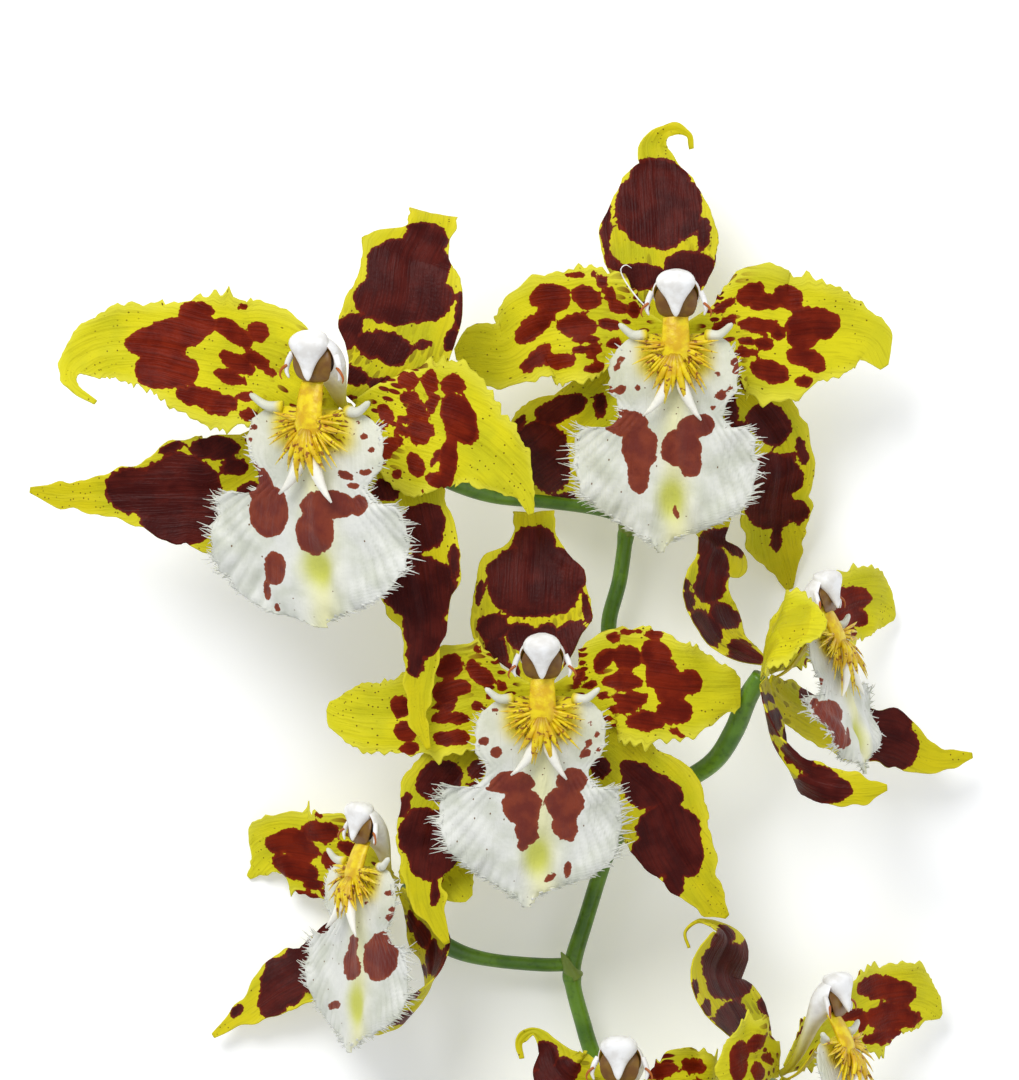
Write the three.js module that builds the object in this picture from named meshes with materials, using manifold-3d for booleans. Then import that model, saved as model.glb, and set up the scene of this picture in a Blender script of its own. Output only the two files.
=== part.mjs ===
// A cut Odontoglossum hallii stem with seven blooms, lying down with the blooms facing up.
// Millimetres. +Y runs up the stem, +Z points off the table, and the stem's cut end is at the low Y end.
import * as THREE from "three";
import Module from "manifold-3d";

const wasm = await Module();
wasm.setup();

// Blade thicknesses and the number of strips each blade is cut into.
const TEPAL_THICKNESS = 0.8;
const LIP_THICKNESS = 0.8;
const TEPAL_GRID = { columns: 4, rows: 12 };
const LIP_GRID = { columns: 6, rows: 17 };
const STEPS_PER_ROW = 6;
const LEAST_HALF_WIDTH = 0.45;

// How each kind of blade is dished, rippled and toothed: the dish is a share of the half-width, the rest is mm.
const TEPAL_KINDS = {
  dorsal_sepal: { dish: 0.08, ripple: 0.5, ripples: 2.5, tooth: 0.3 },
  left_petal: { dish: 0.04, ripple: 0.8, ripples: 3.5, tooth: 0.9 },
  right_petal: { dish: 0.04, ripple: 0.8, ripples: 3.5, tooth: 0.9 },
  left_lateral_sepal: { dish: 0.1, ripple: 0.5, ripples: 2.5, tooth: 0.3 },
  right_lateral_sepal: { dish: 0.1, ripple: 0.5, ripples: 2.5, tooth: 0.3 },
};
const LIP_KIND = { dish: -0.06, ripple: 1.1, ripples: 5, tooth: 1.6 };
const FRINGE_FROM = 0.5;
const BEND_FORWARD = 12;
const SWING_FROM_UP = -8;
const SWING_LENGTH = 36;

const COLOURS = {
  stem: "#5c8a22",
  dorsal_sepal: "#5a2018",
  left_petal: "#cdbf2e",
  right_petal: "#cdbf2e",
  left_lateral_sepal: "#4e1a18",
  right_lateral_sepal: "#4e1a18",
  lip: "#eeeadb",
  crest: "#e6b414",
  column: "#f1efe8",
};

// Tepal stations: x, y, z from the bloom's centre, then the half-width left and right of the way the blade
// grows, then a roll about it in degrees where there is one.
const FRONT_DORSAL = [
  [0, 1.7, -0.6, 1.2, 1.2],
  [-1.6, 9, -0.8, 8, 8],
  [-2.7, 16.5, -1.4, 12, 11.3],
  [-3, 24, -2.4, 11.4, 10.4],
  [-3.4, 30.5, -4, 8, 7.5],
  [-3.4, 35, -5.4, 4, 4],
  [-4, 39, -5.8, 2.8, 2.6],
  [-1.2, 41.8, -5, 1.2, 1.2],
  [2.6, 40.8, -4.4, 0.8, 0.8],
  [3.4, 37.8, -4.4, 0.5, 0.5],
];
const SIDE_FAR_LATERAL = [
  [-0.2, -1.5, -1.6, 1.1, 1.1],
  [3, -5.2, -7.4, 3.4, 5],
  [10, -9, -14, 4.4, 6.6],
  [18, -12.6, -19, 5.4, 6],
  [25.4, -14.6, -22.2, 6.4, 5.6],
  [33.6, -18, -24, 3, 3.4],
  [41.6, -17.4, -26, 0.6, 0.6],
];
const SIDE_NEAR_LATERAL = [
  [-0.9, -1.6, 0.5, 1.1, 1.1],
  [-1, -6.5, 5, 5.4, 5.4],
  [0.4, -13, 10, 7, 7],
  [3.8, -19, 15.6, 5.6, 5.6, -20],
  [10, -22.4, 19, 3.8, 4.2, -50],
  [16.4, -22.8, 20, 3, 3, -60],
  [22, -22.4, 20, 0.6, 0.6, -60],
];

const BLOOMS = {
  a: {
    at: [-31.9, 26, 50],
    facing: [-0.53, -0.12, 0.84],
    up: [0.08, 1, 0],
    size: 1.06,
    lip: { across: 1.16, along: 0.9, lift: 0, swing: 0 },
    lean: [0, 0, 1],
    dorsal_sepal: [
      [0.5, 1.7, -0.6, 1.4, 1.4],
      [5.4, 7, -0.4, 7, 8],
      [8.8, 13, 0.2, 11.6, 11.4],
      [11.4, 21, 0.6, 11.4, 11.4],
      [12.4, 29, -0.4, 9.8, 9.6],
      [13.4, 33, -1.6, 10, 8.2],
      [15.6, 36.4, -3.6, 5.2, 5.6],
      [16.4, 38.6, -6.4, 4.4, 5],
      [16.4, 37, -9.4, 3.6, 3.8],
      [16.2, 33.4, -11, 0.8, 0.8],
    ],
    left_petal: [
      [-1.5, 0.9, 0.75, 1.1, 1.1],
      [-8, 4, 1.2, 5.4, 6.6],
      [-15, 8, 1.6, 10.6, 11.6],
      [-22, 9, 2.2, 12.9, 12.9],
      [-29, 10, 2.4, 12.4, 13],
      [-37, 12, 1, 8.8, 9.4],
      [-44, 12.6, -0.5, 7.4, 7.8],
      [-50, 11.6, -1.5, 6, 6.4],
      [-55, 8.2, -1.5, 2.6, 2.6],
      [-54.6, 4.4, -0.5, 1.2, 1.2],
      [-50, 1.2, 1, 0.5, 0.5],
    ],
    right_petal: [
      [1.5, 0.9, 0.75, 1.3, 1.3],
      [7, -0.6, 2.2, 7.6, 8],
      [13.5, -3, 3.4, 13.4, 14],
      [20, -5, 4, 13.4, 13],
      [26, -8, 3.6, 8.6, 8.6],
      [30.5, -12, 2.4, 6.6, 5.4],
      [34.6, -16.6, 0.5, 2.6, 2.2],
      [36.2, -20.8, -1, 0.6, 0.6],
    ],
    left_lateral_sepal: [
      [-1.8, -0.7, -0.9, 1, 1],
      [-9, -6, -3.6, 5.6, 5.6],
      [-17, -11, -8.2, 9.5, 8],
      [-26, -16, -11.8, 12, 11.4],
      [-34, -16.4, -12, 10.4, 10.6],
      [-42, -16.6, -12.4, 7, 6.2],
      [-50, -17, -13.4, 3.8, 3.8],
      [-57, -17, -14.2, 2.9, 2.6],
      [-64, -16, -14.6, 0.6, 0.6],
    ],
    right_lateral_sepal: [
      [1.5, -0.9, -0.6, 1.3, 1.3],
      [6, -8, -1, 6, 6],
      [10.4, -17, -1.2, 8, 8.4],
      [12.6, -26, -1.4, 9, 9.4],
      [14, -35, -1.8, 8, 8.6],
      [15, -42, -2.6, 4.4, 5.6],
      [14.8, -49, -3.6, 3.4, 3.8],
      [13.8, -56, -4.4, 2.6, 2.8],
      [14, -62, -4.8, 1.8, 1.8],
      [15.8, -67.6, -5.2, 0.5, 0.5],
    ],
  },
  b: {
    at: [33.3, 41, 28],
    facing: [-0.08, -0.16, 0.98],
    up: [0, 1, 0],
    size: 1,
    lip: { across: 1, along: 1, lift: 0, swing: 0 },
    lean: [0, 0, 1],
    dorsal_sepal: FRONT_DORSAL,
    left_petal: [
      [-1.5, 0.9, 0.75, 1.3, 1.3],
      [-8, 0.8, 1.6, 5.2, 6],
      [-14, 2, 2, 9.8, 10.8],
      [-21, 1.8, 1.6, 11.4, 11.8],
      [-28, 0.6, 0.4, 10.2, 10],
      [-34, -3.2, -1, 7.2, 6.6],
      [-40, -2.8, -2.4, 5.4, 5.2],
      [-44.2, -3.6, -3.4, 1.2, 1.2],
    ],
    right_petal: [
      [1.5, 0.9, 0.75, 1.3, 1.3],
      [8, 0.6, 1.6, 6.4, 6.6],
      [15, 1.2, 2, 13, 12.8],
      [22, 0, 1.6, 13.2, 13.2],
      [29, 0.4, 0.6, 10.6, 10],
      [35, 0, -1, 7.8, 7.6],
      [39.5, -1.5, -2.4, 5, 5],
      [42.2, -6.2, -3.4, 1, 1],
    ],
    left_lateral_sepal: [
      [-1.5, -0.9, -0.6, 1.3, 1.3],
      [-8, -7.5, -1.6, 6, 6],
      [-16, -15.5, -4.6, 8.5, 8],
      [-24, -22.5, -10, 10.2, 10.6],
      [-30, -27, -16.6, 8.4, 9],
      [-33.5, -28.6, -22.4, 5, 5],
      [-35.5, -29.4, -27.6, 0.6, 0.6],
    ],
    right_lateral_sepal: [
      [1.5, -0.9, -0.6, 1.3, 1.3],
      [8, -7.5, -1.8, 6, 6],
      [17.5, -17, -5, 7.5, 7.5],
      [21.5, -25, -9.6, 7, 7.5],
      [20.8, -33, -14.6, 7.4, 7.4],
      [21, -39.4, -19.4, 6.6, 7.2],
      [22.4, -45, -23.6, 4, 3.8],
      [24, -51, -27.6, 0.8, 0.8],
    ],
  },
  c: {
    at: [6.7, -31.4, 38],
    facing: [-0.04, -0.2, 0.98],
    up: [0, 1, 0],
    size: 0.95,
    lip: { across: 1.02, along: 0.98, lift: 0, swing: 0 },
    lean: [0, 0, 1],
    dorsal_sepal: [
      [0, 1.7, -0.6, 1.2, 1.2],
      [-1, 8, -1, 7.4, 7.4],
      [-2.2, 14, -1.6, 12, 12],
      [-2.3, 20, -2, 11.3, 11.3],
      [-2, 26, -3, 11, 10.4],
      [-1.6, 30, -4.2, 5.6, 5.4],
      [-1.6, 34, -5.6, 4.4, 4.2],
      [-1.8, 36.6, -7, 4.2, 4.2],
      [-1.8, 36.2, -9.8, 3.6, 3.6],
      [-1.8, 33, -11.4, 0.8, 0.8],
    ],
    left_petal: [
      [-1.5, 0.9, 0.75, 1.3, 1.3],
      [-8, 0.4, 1.4, 6, 6],
      [-14.5, 0.4, 1.8, 10.4, 11],
      [-21, -1.8, 1.6, 10.4, 10.2],
      [-28.6, -3.8, 0.6, 7.8, 7.6],
      [-35.5, -3.7, -1, 6.6, 6.9],
      [-40.5, -2.8, -2.2, 4.8, 3.8],
      [-43, -1.8, -2.8, 1, 1],
    ],
    right_petal: [
      [1.5, 0.9, 0.75, 1.3, 1.3],
      [8, 1, 1.4, 6, 6],
      [14, 2.8, 2, 11, 11],
      [21, 2.2, 1.8, 11.6, 11.8],
      [28, 1.2, 0.8, 9.4, 9.6],
      [34, 1, -0.8, 7, 6.2],
      [38, 1, -2, 4.2, 4],
      [39.4, 1, -2.6, 2.8, 3],
    ],
    left_lateral_sepal: [
      [-1.5, -0.9, -0.6, 1.3, 1.3],
      [-8.5, -8, -1, 6.4, 6.4],
      [-15.6, -14.6, -1.4, 8.2, 8.2],
      [-20.6, -22, -1.8, 8.6, 8.6],
      [-22.8, -30, -2.4, 7, 6.2],
      [-23.6, -36, -3, 3.8, 4.6],
      [-22.4, -42, -3.4, 3, 3],
      [-19.2, -49.4, -3.6, 0.6, 0.6],
    ],
    right_lateral_sepal: [
      [1.5, -0.9, -0.6, 1.3, 1.3],
      [8.5, -8, -1, 6, 6],
      [16, -14.6, -1.8, 8, 8],
      [22.4, -21, -3, 9.4, 9],
      [25.4, -28.4, -4.4, 8.6, 8.2],
      [29.6, -35.6, -6, 5.8, 5],
      [33.4, -40.8, -7.4, 3.4, 3.4],
      [37, -44.2, -8.6, 0.6, 0.6],
    ],
  },
  d: {
    at: [52.5, -26.4, 36],
    facing: [0.84, 0.25, 0.45],
    up: [-0.2, 1, 0],
    size: 0.86,
    lip: { across: 1, along: 0.78, lift: 5.6, swing: -5 },
    lean: [0.87, 0, 0.45],
    dorsal_sepal: [
      [-1, 1.6, -0.8, 1.1, 1.1],
      [-5.2, 3.6, -2.4, 4.6, 4.6],
      [-10, 6.8, -4.4, 7, 8],
      [-13.4, 14.6, -7.4, 7, 8],
      [-12, 21, -10, 4.4, 5],
      [-10.8, 24.4, -11.8, 7.4, 9],
      [-11.4, 28, -14, 5, 4.4],
      [-8.6, 31.6, -16.4, 1.4, 1.4],
    ],
    left_petal: [
      [-0.8, 0.8, 1.4, 1.3, 1.3],
      [-1.4, 3, 7, 4, 5],
      [-1, 6, 13.5, 7, 8],
      [1.4, 8.6, 19, 8, 9],
      [5, 9.6, 22.5, 6, 6.5],
      [8.2, 9.8, 24.4, 3, 3],
      [9.8, 9.8, 25, 1, 1],
    ],
    right_petal: [
      [0.8, 1, -1.2, 1.1, 1.1],
      [4.2, 4.6, -7, 5.4, 4.4],
      [9.4, 8.6, -13.4, 8.4, 7.4],
      [15.6, 12, -19.5, 8.4, 7.6],
      [21, 13.6, -25, 7.6, 6.4],
      [25, 13, -29.4, 6, 5],
      [27.6, 10.6, -34, 1, 1],
    ],
    left_lateral_sepal: SIDE_NEAR_LATERAL,
    right_lateral_sepal: SIDE_FAR_LATERAL,
  },
  e: {
    at: [-22.9, -69, 21.6],
    facing: [-0.74, 0.16, 0.62],
    up: [0.1, 1, 0],
    size: 0.86,
    lip: { across: 1, along: 0.98, lift: 0, swing: 7 },
    lean: [-0.87, 0, 0.45],
    dorsal_sepal: [
      [1, 1.6, -0.8, 1.1, 1.1],
      [5.2, 4.6, -2.4, 5, 5],
      [9.4, 9.4, -4.4, 7.4, 7.4],
      [11.8, 16, -6.4, 7.4, 7.4],
      [11.8, 22, -8, 6, 6],
      [10.4, 27, -9.4, 3, 3],
      [9, 31, -10.6, 0.8, 0.8],
    ],
    right_petal: [
      [0.9, 0.8, 1.4, 1.3, 1.3],
      [3.6, 3, 4.4, 5, 3.6],
      [7, 3, 6, 6.4, 5],
      [10.4, 1.6, 6.6, 5.6, 5],
      [13, -1.2, 7.6, 3.6, 3.6],
      [14.8, -3, 7.4, 1, 1],
    ],
    left_petal: [
      [-0.8, 1, -0.8, 1.1, 1.1],
      [-4.8, 3.4, -4.4, 4.6, 5],
      [-11, 5, -8, 8.4, 9],
      [-17, 4.8, -12, 9.6, 9.4],
      [-22.6, 5.6, -15.4, 7.4, 8],
      [-27, 4.6, -18.4, 4.8, 4.6],
      [-30.2, 1.2, -21, 0.8, 0.8],
    ],
    right_lateral_sepal: [
      [0.9, -1.6, 0.6, 1.1, 1.1],
      [4.4, -6.8, 2.8, 4.6, 4.6],
      [7.6, -13, 4, 6.6, 6.6],
      [6.6, -20.4, 4, 6.2, 6.2, 30],
      [2.4, -26, 3.8, 4.8, 4.8, 60],
      [-3, -28.8, 3.4, 3.4, 3, 75],
      [-7.4, -30, 3, 0.6, 0.6, 75],
    ],
    left_lateral_sepal: [
      [0.2, -1.6, -1.6, 1.1, 1.1],
      [-4.4, -7, -7.6, 4.6, 3.4],
      [-10.6, -12.8, -12.4, 7, 5.6],
      [-17.4, -18.8, -14.4, 7.2, 7],
      [-24.4, -23, -15.4, 6, 6.6],
      [-31, -27.6, -16.4, 2.8, 3],
      [-37.6, -32.2, -17, 0.6, 0.6],
    ],
  },
  f: {
    at: [54.5, -106.8, 36],
    facing: [0.84, 0.25, 0.45],
    up: [-0.2, 1, 0],
    size: 0.9,
    lip: { across: 1, along: 0.75, lift: 5.4, swing: -5 },
    lean: [0.87, 0, 0.45],
    dorsal_sepal: [
      [-1, 1.6, -0.8, 1.1, 1.1],
      [-4.4, 5, -2.2, 6, 6],
      [-9.6, 12, -4, 12, 11],
      [-13, 19.6, -5.6, 11, 10],
      [-10.6, 26, -7.4, 8, 8.4],
      [-13, 29.2, -8.6, 3, 3],
      [-16.4, 30.4, -9, 1.2, 1.2],
      [-19.2, 28, -9, 0.8, 0.8],
      [-18.4, 24.8, -8.6, 0.5, 0.5],
    ],
    left_petal: [
      [-0.8, 0.8, 1.4, 1.3, 1.3],
      [-2.6, 3.2, 7, 4.4, 5],
      [-5, 4.4, 13, 6.6, 7.5],
      [-8, 4, 18, 7.6, 8],
      [-11, 3, 21.6, 6, 6],
      [-14, 2.4, 24, 0.8, 0.8],
    ],
    right_petal: [
      [0.8, 1, -1.2, 1.1, 1.1],
      [5, 4.8, -7, 5.6, 4.6],
      [12, 8.8, -13.4, 9, 7.6],
      [19.6, 12, -19, 9, 9],
      [27, 13, -24, 7.6, 7.4],
      [32.4, 12, -28, 5, 5],
      [36, 9.4, -31, 0.8, 0.8],
    ],
    left_lateral_sepal: SIDE_NEAR_LATERAL,
    right_lateral_sepal: SIDE_FAR_LATERAL,
  },
  g: {
    at: [22.3, -112.8, 32],
    facing: [-0.2, 0.1, 0.97],
    up: [0, 1, 0],
    size: 0.95,
    lip: { across: 1, along: 1, lift: 0, swing: 0 },
    lean: [0, 0, 1],
    dorsal_sepal: [
      [-0.8, 1.7, -0.8, 1.1, 1.1],
      [-6, 3, -1.6, 5.2, 5.2],
      [-10.4, 4.2, -1.2, 6.4, 7.4],
      [-13, 7, -2, 5, 5.6],
      [-14.4, 11, -3.6, 2.4, 2.4],
      [-17.4, 14, -4.2, 1, 1],
      [-20.4, 12.2, -4, 0.8, 0.8],
      [-19.8, 8.6, -3.6, 0.5, 0.5],
    ],
    left_petal: [
      [-1.9, 0, 0.75, 1, 1],
      [-6.8, -2.8, 0.9, 4.2, 4.2],
      [-12, -7.6, 0.9, 8.4, 8.6],
      [-17.6, -13.4, 1.2, 10.2, 10],
      [-23.4, -18.6, -0.4, 8, 8],
      [-29, -22.6, -2.4, 5, 5],
      [-33, -25, -3.8, 1, 1],
    ],
    right_petal: [
      [1.5, 0.9, 0.75, 1.3, 1.3],
      [7, 1, 1.6, 6, 6],
      [12, 1.6, 1.8, 10, 9],
      [16, 1.2, 0, 9.4, 9],
      [18.8, 0.8, -4.4, 7.6, 7],
      [20, 0.6, -9, 5, 4.6],
      [20.4, 0.6, -13, 1, 1],
    ],
    left_lateral_sepal: [
      [-1, -1.6, -0.6, 1.3, 1.3],
      [-4.4, -9.4, -1.4, 6, 6],
      [-7.6, -17.6, -2.6, 8.4, 8.4],
      [-9.6, -26, -4.4, 8.4, 8.4],
      [-10.4, -34, -7, 5, 5],
      [-9.4, -41, -9.6, 2.8, 2.8],
      [-7.4, -47, -12, 0.6, 0.6],
    ],
    right_lateral_sepal: [
      [1.5, -0.9, -0.6, 1.3, 1.3],
      [7.4, -8.4, -1.6, 5, 5],
      [13.4, -15.6, -3, 7.2, 7.2],
      [19.4, -22, -3.4, 7.6, 7.6],
      [23.4, -28, -3, 6.6, 6.6],
      [26, -36, -4.4, 3.2, 3.2],
      [29, -43, -6, 0.6, 0.6],
    ],
  },
};

// Lip stations in the bloom's own frame: right, up and forward of its centre, the half-widths left and right,
// and how far the two edges are drawn upward. The claw comes first, then the side lobes and the middle lobe.
const LIP_STATIONS = [
  [0, -1.8, 0.75, 1.3, 1.3, 0],
  [0, -2.4, 5, 1.7, 1.7, 0],
  [0, -1.6, 10, 3.4, 3.4, 0.6],
  [0, -3.6, 13.4, 7.4, 7.4, 3.2],
  [0, -6.6, 14, 12, 12, 7],
  [0, -10.6, 13.6, 13.4, 12.6, 4.4],
  [0, -14.2, 13, 13.2, 11.6, 1.4],
  [-0.4, -17.4, 12.6, 14.4, 12.6, 0.6],
  [-1.6, -20.4, 12.4, 20.6, 18, 4.4],
  [-2.4, -25.4, 12, 20.6, 19.4, 2],
  [-2.6, -30.6, 11.6, 20, 18.6, 0],
  [-2.4, -35.6, 11.2, 16.4, 15.8, 0],
  [-1.6, -39.4, 10.6, 10.6, 10.8, 0],
  [-0.8, -42, 10, 4.6, 4.6, 0],
  [-0.6, -43.8, 9.4, 1, 1, 0],
];

// Crest rings from the neck down to the foot of the pad: up, forward, half-width, half-depth.
const CREST_RINGS = [
  [5, 14, 2.4, 0.8],
  [2, 15, 3, 1],
  [-1.5, 15.8, 4, 1.2],
  [-5, 16.3, 4.4, 1.2],
  [-8, 16.4, 3, 1],
  [-9.6, 16.2, 1, 0.6],
];
const CREST_ROOT = { up: -3.6, forward: 16 };
const FINGERS = { count: 11, fromDegrees: 172, toDegrees: 368, long: 9.6, radius: 0.62, rise: 1.6 };
const PRONGS = [
  { degrees: 256, long: 17, radius: 0.85, rise: 1.2 },
  { degrees: 284, long: 17, radius: 0.85, rise: 1.2 },
];

// Column rings from its foot over the hood to the tip of the beak: up, forward, half-width, half-depth.
const COLUMN_RINGS = [
  [0.3, -0.4, 0.8, 0.8],
  [0.7, 2.4, 0.9, 0.8],
  [2.4, 6, 2, 1.6],
  [5, 9, 3.2, 2.2],
  [8, 11.4, 5.4, 3],
  [10.6, 13.6, 6.3, 4],
  [11.8, 16.4, 5.2, 3.8],
  [10.4, 18.8, 3.2, 2.2],
  [8, 19.8, 1.7, 1.1],
  [5.8, 19.6, 0.5, 0.4],
];
const COLUMN_SIDES = 8;
const CREST_SIDES = 6;

// The stem's main stalk: x, y, z and radius, from the cut end upward, in the frame of the blooms' centres.
const RACHIS = [
  [25, -216, 2.6, 2.6],
  [24.4, -190, 4.6, 2.5],
  [24, -168, 6, 2.4],
  [22, -150, 7, 2.35],
  [19.6, -136, 7.6, 2.3],
  [17.8, -124, 8, 2.1],
  [18, -110, 8, 1.9],
  [15.4, -100, 8, 1.8],
  [13, -91, 8, 1.75],
  [13, -85.6, 8, 1.9],
  [15.6, -77, 8.4, 1.75],
  [19, -66, 8.8, 1.75],
  [22, -57.6, 9, 1.85],
  [22.4, -40, 9.4, 1.7],
  [21, -26, 9.6, 1.7],
  [20.2, -17, 9.8, 1.7],
  [22.4, -8, 10, 1.65],
  [23.8, 2, 10, 1.6],
  [24.4, 5.4, 10, 1.5],
];

// One footstalk with its ovary for each bloom, from its node on the stalk up to the bloom: x, y, z and radius.
const FOOTSTALKS = {
  a: [
    [24.2, 4.6, 10, 1.4],
    [17, 6.4, 15, 1.4],
    [8, 7.6, 21.4, 1.4],
    [-4, 9, 29, 1.6],
    [-14, 13, 36, 2],
    [-23, 19, 40.6, 2.2],
    [-30, 24.6, 47, 2],
  ],
  b: [
    [24.2, 3.4, 10, 1.4],
    [26.4, 12, 11, 1.4],
    [29, 22, 13, 1.6],
    [31.4, 31, 17.4, 2.1],
    [33, 37.4, 22, 2.1],
    [33.4, 40.7, 26, 2],
  ],
  c: [
    [21.6, -37, 9.4, 1.4],
    [18.6, -35, 15, 1.4],
    [14, -33.6, 22, 1.6],
    [10, -32.4, 28, 2.1],
    [7.2, -31.4, 33, 2.1],
    [6.8, -31.2, 36.2, 2],
  ],
  d: [
    [21.8, -57, 9.2, 1.5],
    [28, -53, 15, 1.9],
    [34, -49.4, 21, 2],
    [41, -44.6, 26, 2.1],
    [45, -38.4, 29.6, 2.2],
    [47.6, -31.8, 32.4, 2.2],
    [50.3, -27.1, 34.7, 1.9],
  ],
  e: [
    [12.6, -86.4, 8, 1.5],
    [6, -86.4, 8.6, 1.5],
    [-4, -85.4, 9, 1.5],
    [-11, -83.4, 10, 1.8],
    [-16.6, -79.6, 11.6, 2.1],
    [-19.4, -74.6, 15.2, 2.1],
    [-20.5, -70.3, 19, 1.7],
  ],
  f: [
    [19.6, -136, 7.8, 1.4],
    [27, -133, 14, 1.6],
    [35, -128.6, 21, 1.9],
    [43.6, -122.4, 27, 2.1],
    [48.4, -115, 31.6, 2.2],
    [52.2, -107.9, 34.6, 1.9],
  ],
  g: [
    [17.8, -126, 8, 1.4],
    [17.6, -122, 13, 1.5],
    [18.6, -118, 19, 1.9],
    [21, -114.6, 25, 2.1],
    [22.4, -113, 30.2, 2],
  ],
};

// Bracts clasp the stalk at the nodes; each is a pointed scale: foot, tip and radius at the foot.
const BRACTS = [
  { foot: [13.2, -89, 8], tip: [10.4, -83.6, 10.4], radius: 2 },
  { foot: [21.8, -60.4, 9], tip: [25, -54.8, 11], radius: 2 },
  { foot: [21.6, -40, 9.4], tip: [20, -34.4, 11.8], radius: 1.9 },
  { foot: [24, 1, 10], tip: [22, 7.6, 11.6], radius: 1.8 },
  { foot: [18, -128.4, 7.8], tip: [16.4, -121.6, 10.4], radius: 2.2 },
  { foot: [20.2, -139.4, 7.4], tip: [23.2, -132.6, 10], radius: 2.4 },
  { foot: [24.2, -183, 5], tip: [21, -171, 8.6], radius: 2.7 },
];

const STALK_SIDES = 8;
const STALK_STEPS = 2;
const FOOTSTALK_SIDES = 6;

// A repeatable stream of numbers from 0 to 1.
function seededRandom(seed) {
  let state = seed >>> 0;
  return () => {
    state = (state + 0x6d2b79f5) >>> 0;
    let mixed = Math.imul(state ^ (state >>> 15), 1 | state);
    mixed = (mixed + Math.imul(mixed ^ (mixed >>> 7), 61 | mixed)) ^ mixed;
    return ((mixed ^ (mixed >>> 14)) >>> 0) / 4294967296;
  };
}

// A number worked out from a name, so each blade has teeth and ripples of its own.
function seedOf(name) {
  return [...name].reduce((sum, letter) => (sum * 31 + letter.charCodeAt(0)) >>> 0, 7);
}

function smoothCurve(points) {
  return new THREE.CatmullRomCurve3(points, false, "catmullrom", 0.5);
}

// Frames along the rib of a blade: a point, the way it grows, the way across it and its half-widths.
// The across direction is carried along the rib, so a rib that hooks or folds back keeps its blade whole.
function ribFrames(stations, facing, rows) {
  const rib = smoothCurve(stations.map(([x, y, z]) => new THREE.Vector3(x, y, z)));
  const widths = smoothCurve(stations.map(([, , , left, right]) => new THREE.Vector3(left, right, 0)));
  const rolls = smoothCurve(stations.map((station) => new THREE.Vector3(station[5] ?? 0, 0, 0)));
  const across = rib.getTangent(0).cross(facing).normalize();
  const frames = [];
  for (let step = 0; step <= rows * STEPS_PER_ROW; step += 1) {
    const t = step / (rows * STEPS_PER_ROW);
    const along = rib.getTangent(t);
    across.addScaledVector(along, -across.dot(along)).normalize();
    if (step % STEPS_PER_ROW) continue;
    const width = widths.getPoint(t);
    const roll = THREE.MathUtils.degToRad(rolls.getPoint(t).x);
    frames.push({
      t,
      point: rib.getPoint(t),
      along,
      across: across.clone().applyAxisAngle(along, roll),
      left: Math.max(width.x, LEAST_HALF_WIDTH),
      right: Math.max(width.y, LEAST_HALF_WIDTH),
    });
  }
  return frames;
}

// Height of the edge ripple: nothing on the midline or at either end, one phase for each edge.
function rippleHeight(kind, t, u, phase) {
  const envelope = Math.sin(Math.PI * Math.min(1, 0.08 + t));
  return kind.ripple * envelope * u * u * Math.sin(2 * Math.PI * kind.ripples * t + phase + (u < 0 ? 2.2 : 0));
}

// The middle surface of a tepal as rows of points.
function tepalSurface(stations, facing, kind, seed) {
  const random = seededRandom(seed);
  const phase = random() * Math.PI * 2;
  const { columns, rows } = TEPAL_GRID;
  return ribFrames(stations, facing, rows).map((frame, row) => {
    const normal = frame.across.clone().cross(frame.along).normalize();
    const toothed = row > 2 && row < rows - 1 ? kind.tooth : 0;
    const teeth = [toothed * (random() - 0.5), toothed * (random() - 0.5)];
    return Array.from({ length: columns + 1 }, (_, column) => {
      const u = (2 * column) / columns - 1;
      const half = u < 0 ? frame.left : frame.right;
      const edge = Math.abs(u) === 1 ? teeth[u < 0 ? 0 : 1] * Math.sign(u) : 0;
      const lift = kind.dish * half * u * u + rippleHeight(kind, frame.t, u, phase);
      return frame.point.clone().addScaledVector(frame.across, u * half + edge).addScaledVector(normal, lift);
    });
  });
}

// The right, up and forward directions of a bloom.
function bloomAxes(bloom) {
  const forward = new THREE.Vector3(...bloom.facing).normalize();
  const up = new THREE.Vector3(...bloom.up);
  up.addScaledVector(forward, -up.dot(forward)).normalize();
  return { right: up.clone().cross(forward), up, forward };
}

// How high a lip, crest or column part stands: the lift of its bloom grows from the foot to the bend.
function lifted(bloom, up, forward) {
  return up + bloom.lip.lift * THREE.MathUtils.smoothstep(forward, 0, BEND_FORWARD);
}

// A point given right, up and forward of a bloom's centre.
function inBloom(bloom, right, up, forward) {
  const axes = bloomAxes(bloom);
  return new THREE.Vector3(...bloom.at)
    .addScaledVector(axes.right, right * bloom.size)
    .addScaledVector(axes.up, up * bloom.size)
    .addScaledVector(axes.forward, forward * bloom.size);
}

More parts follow.
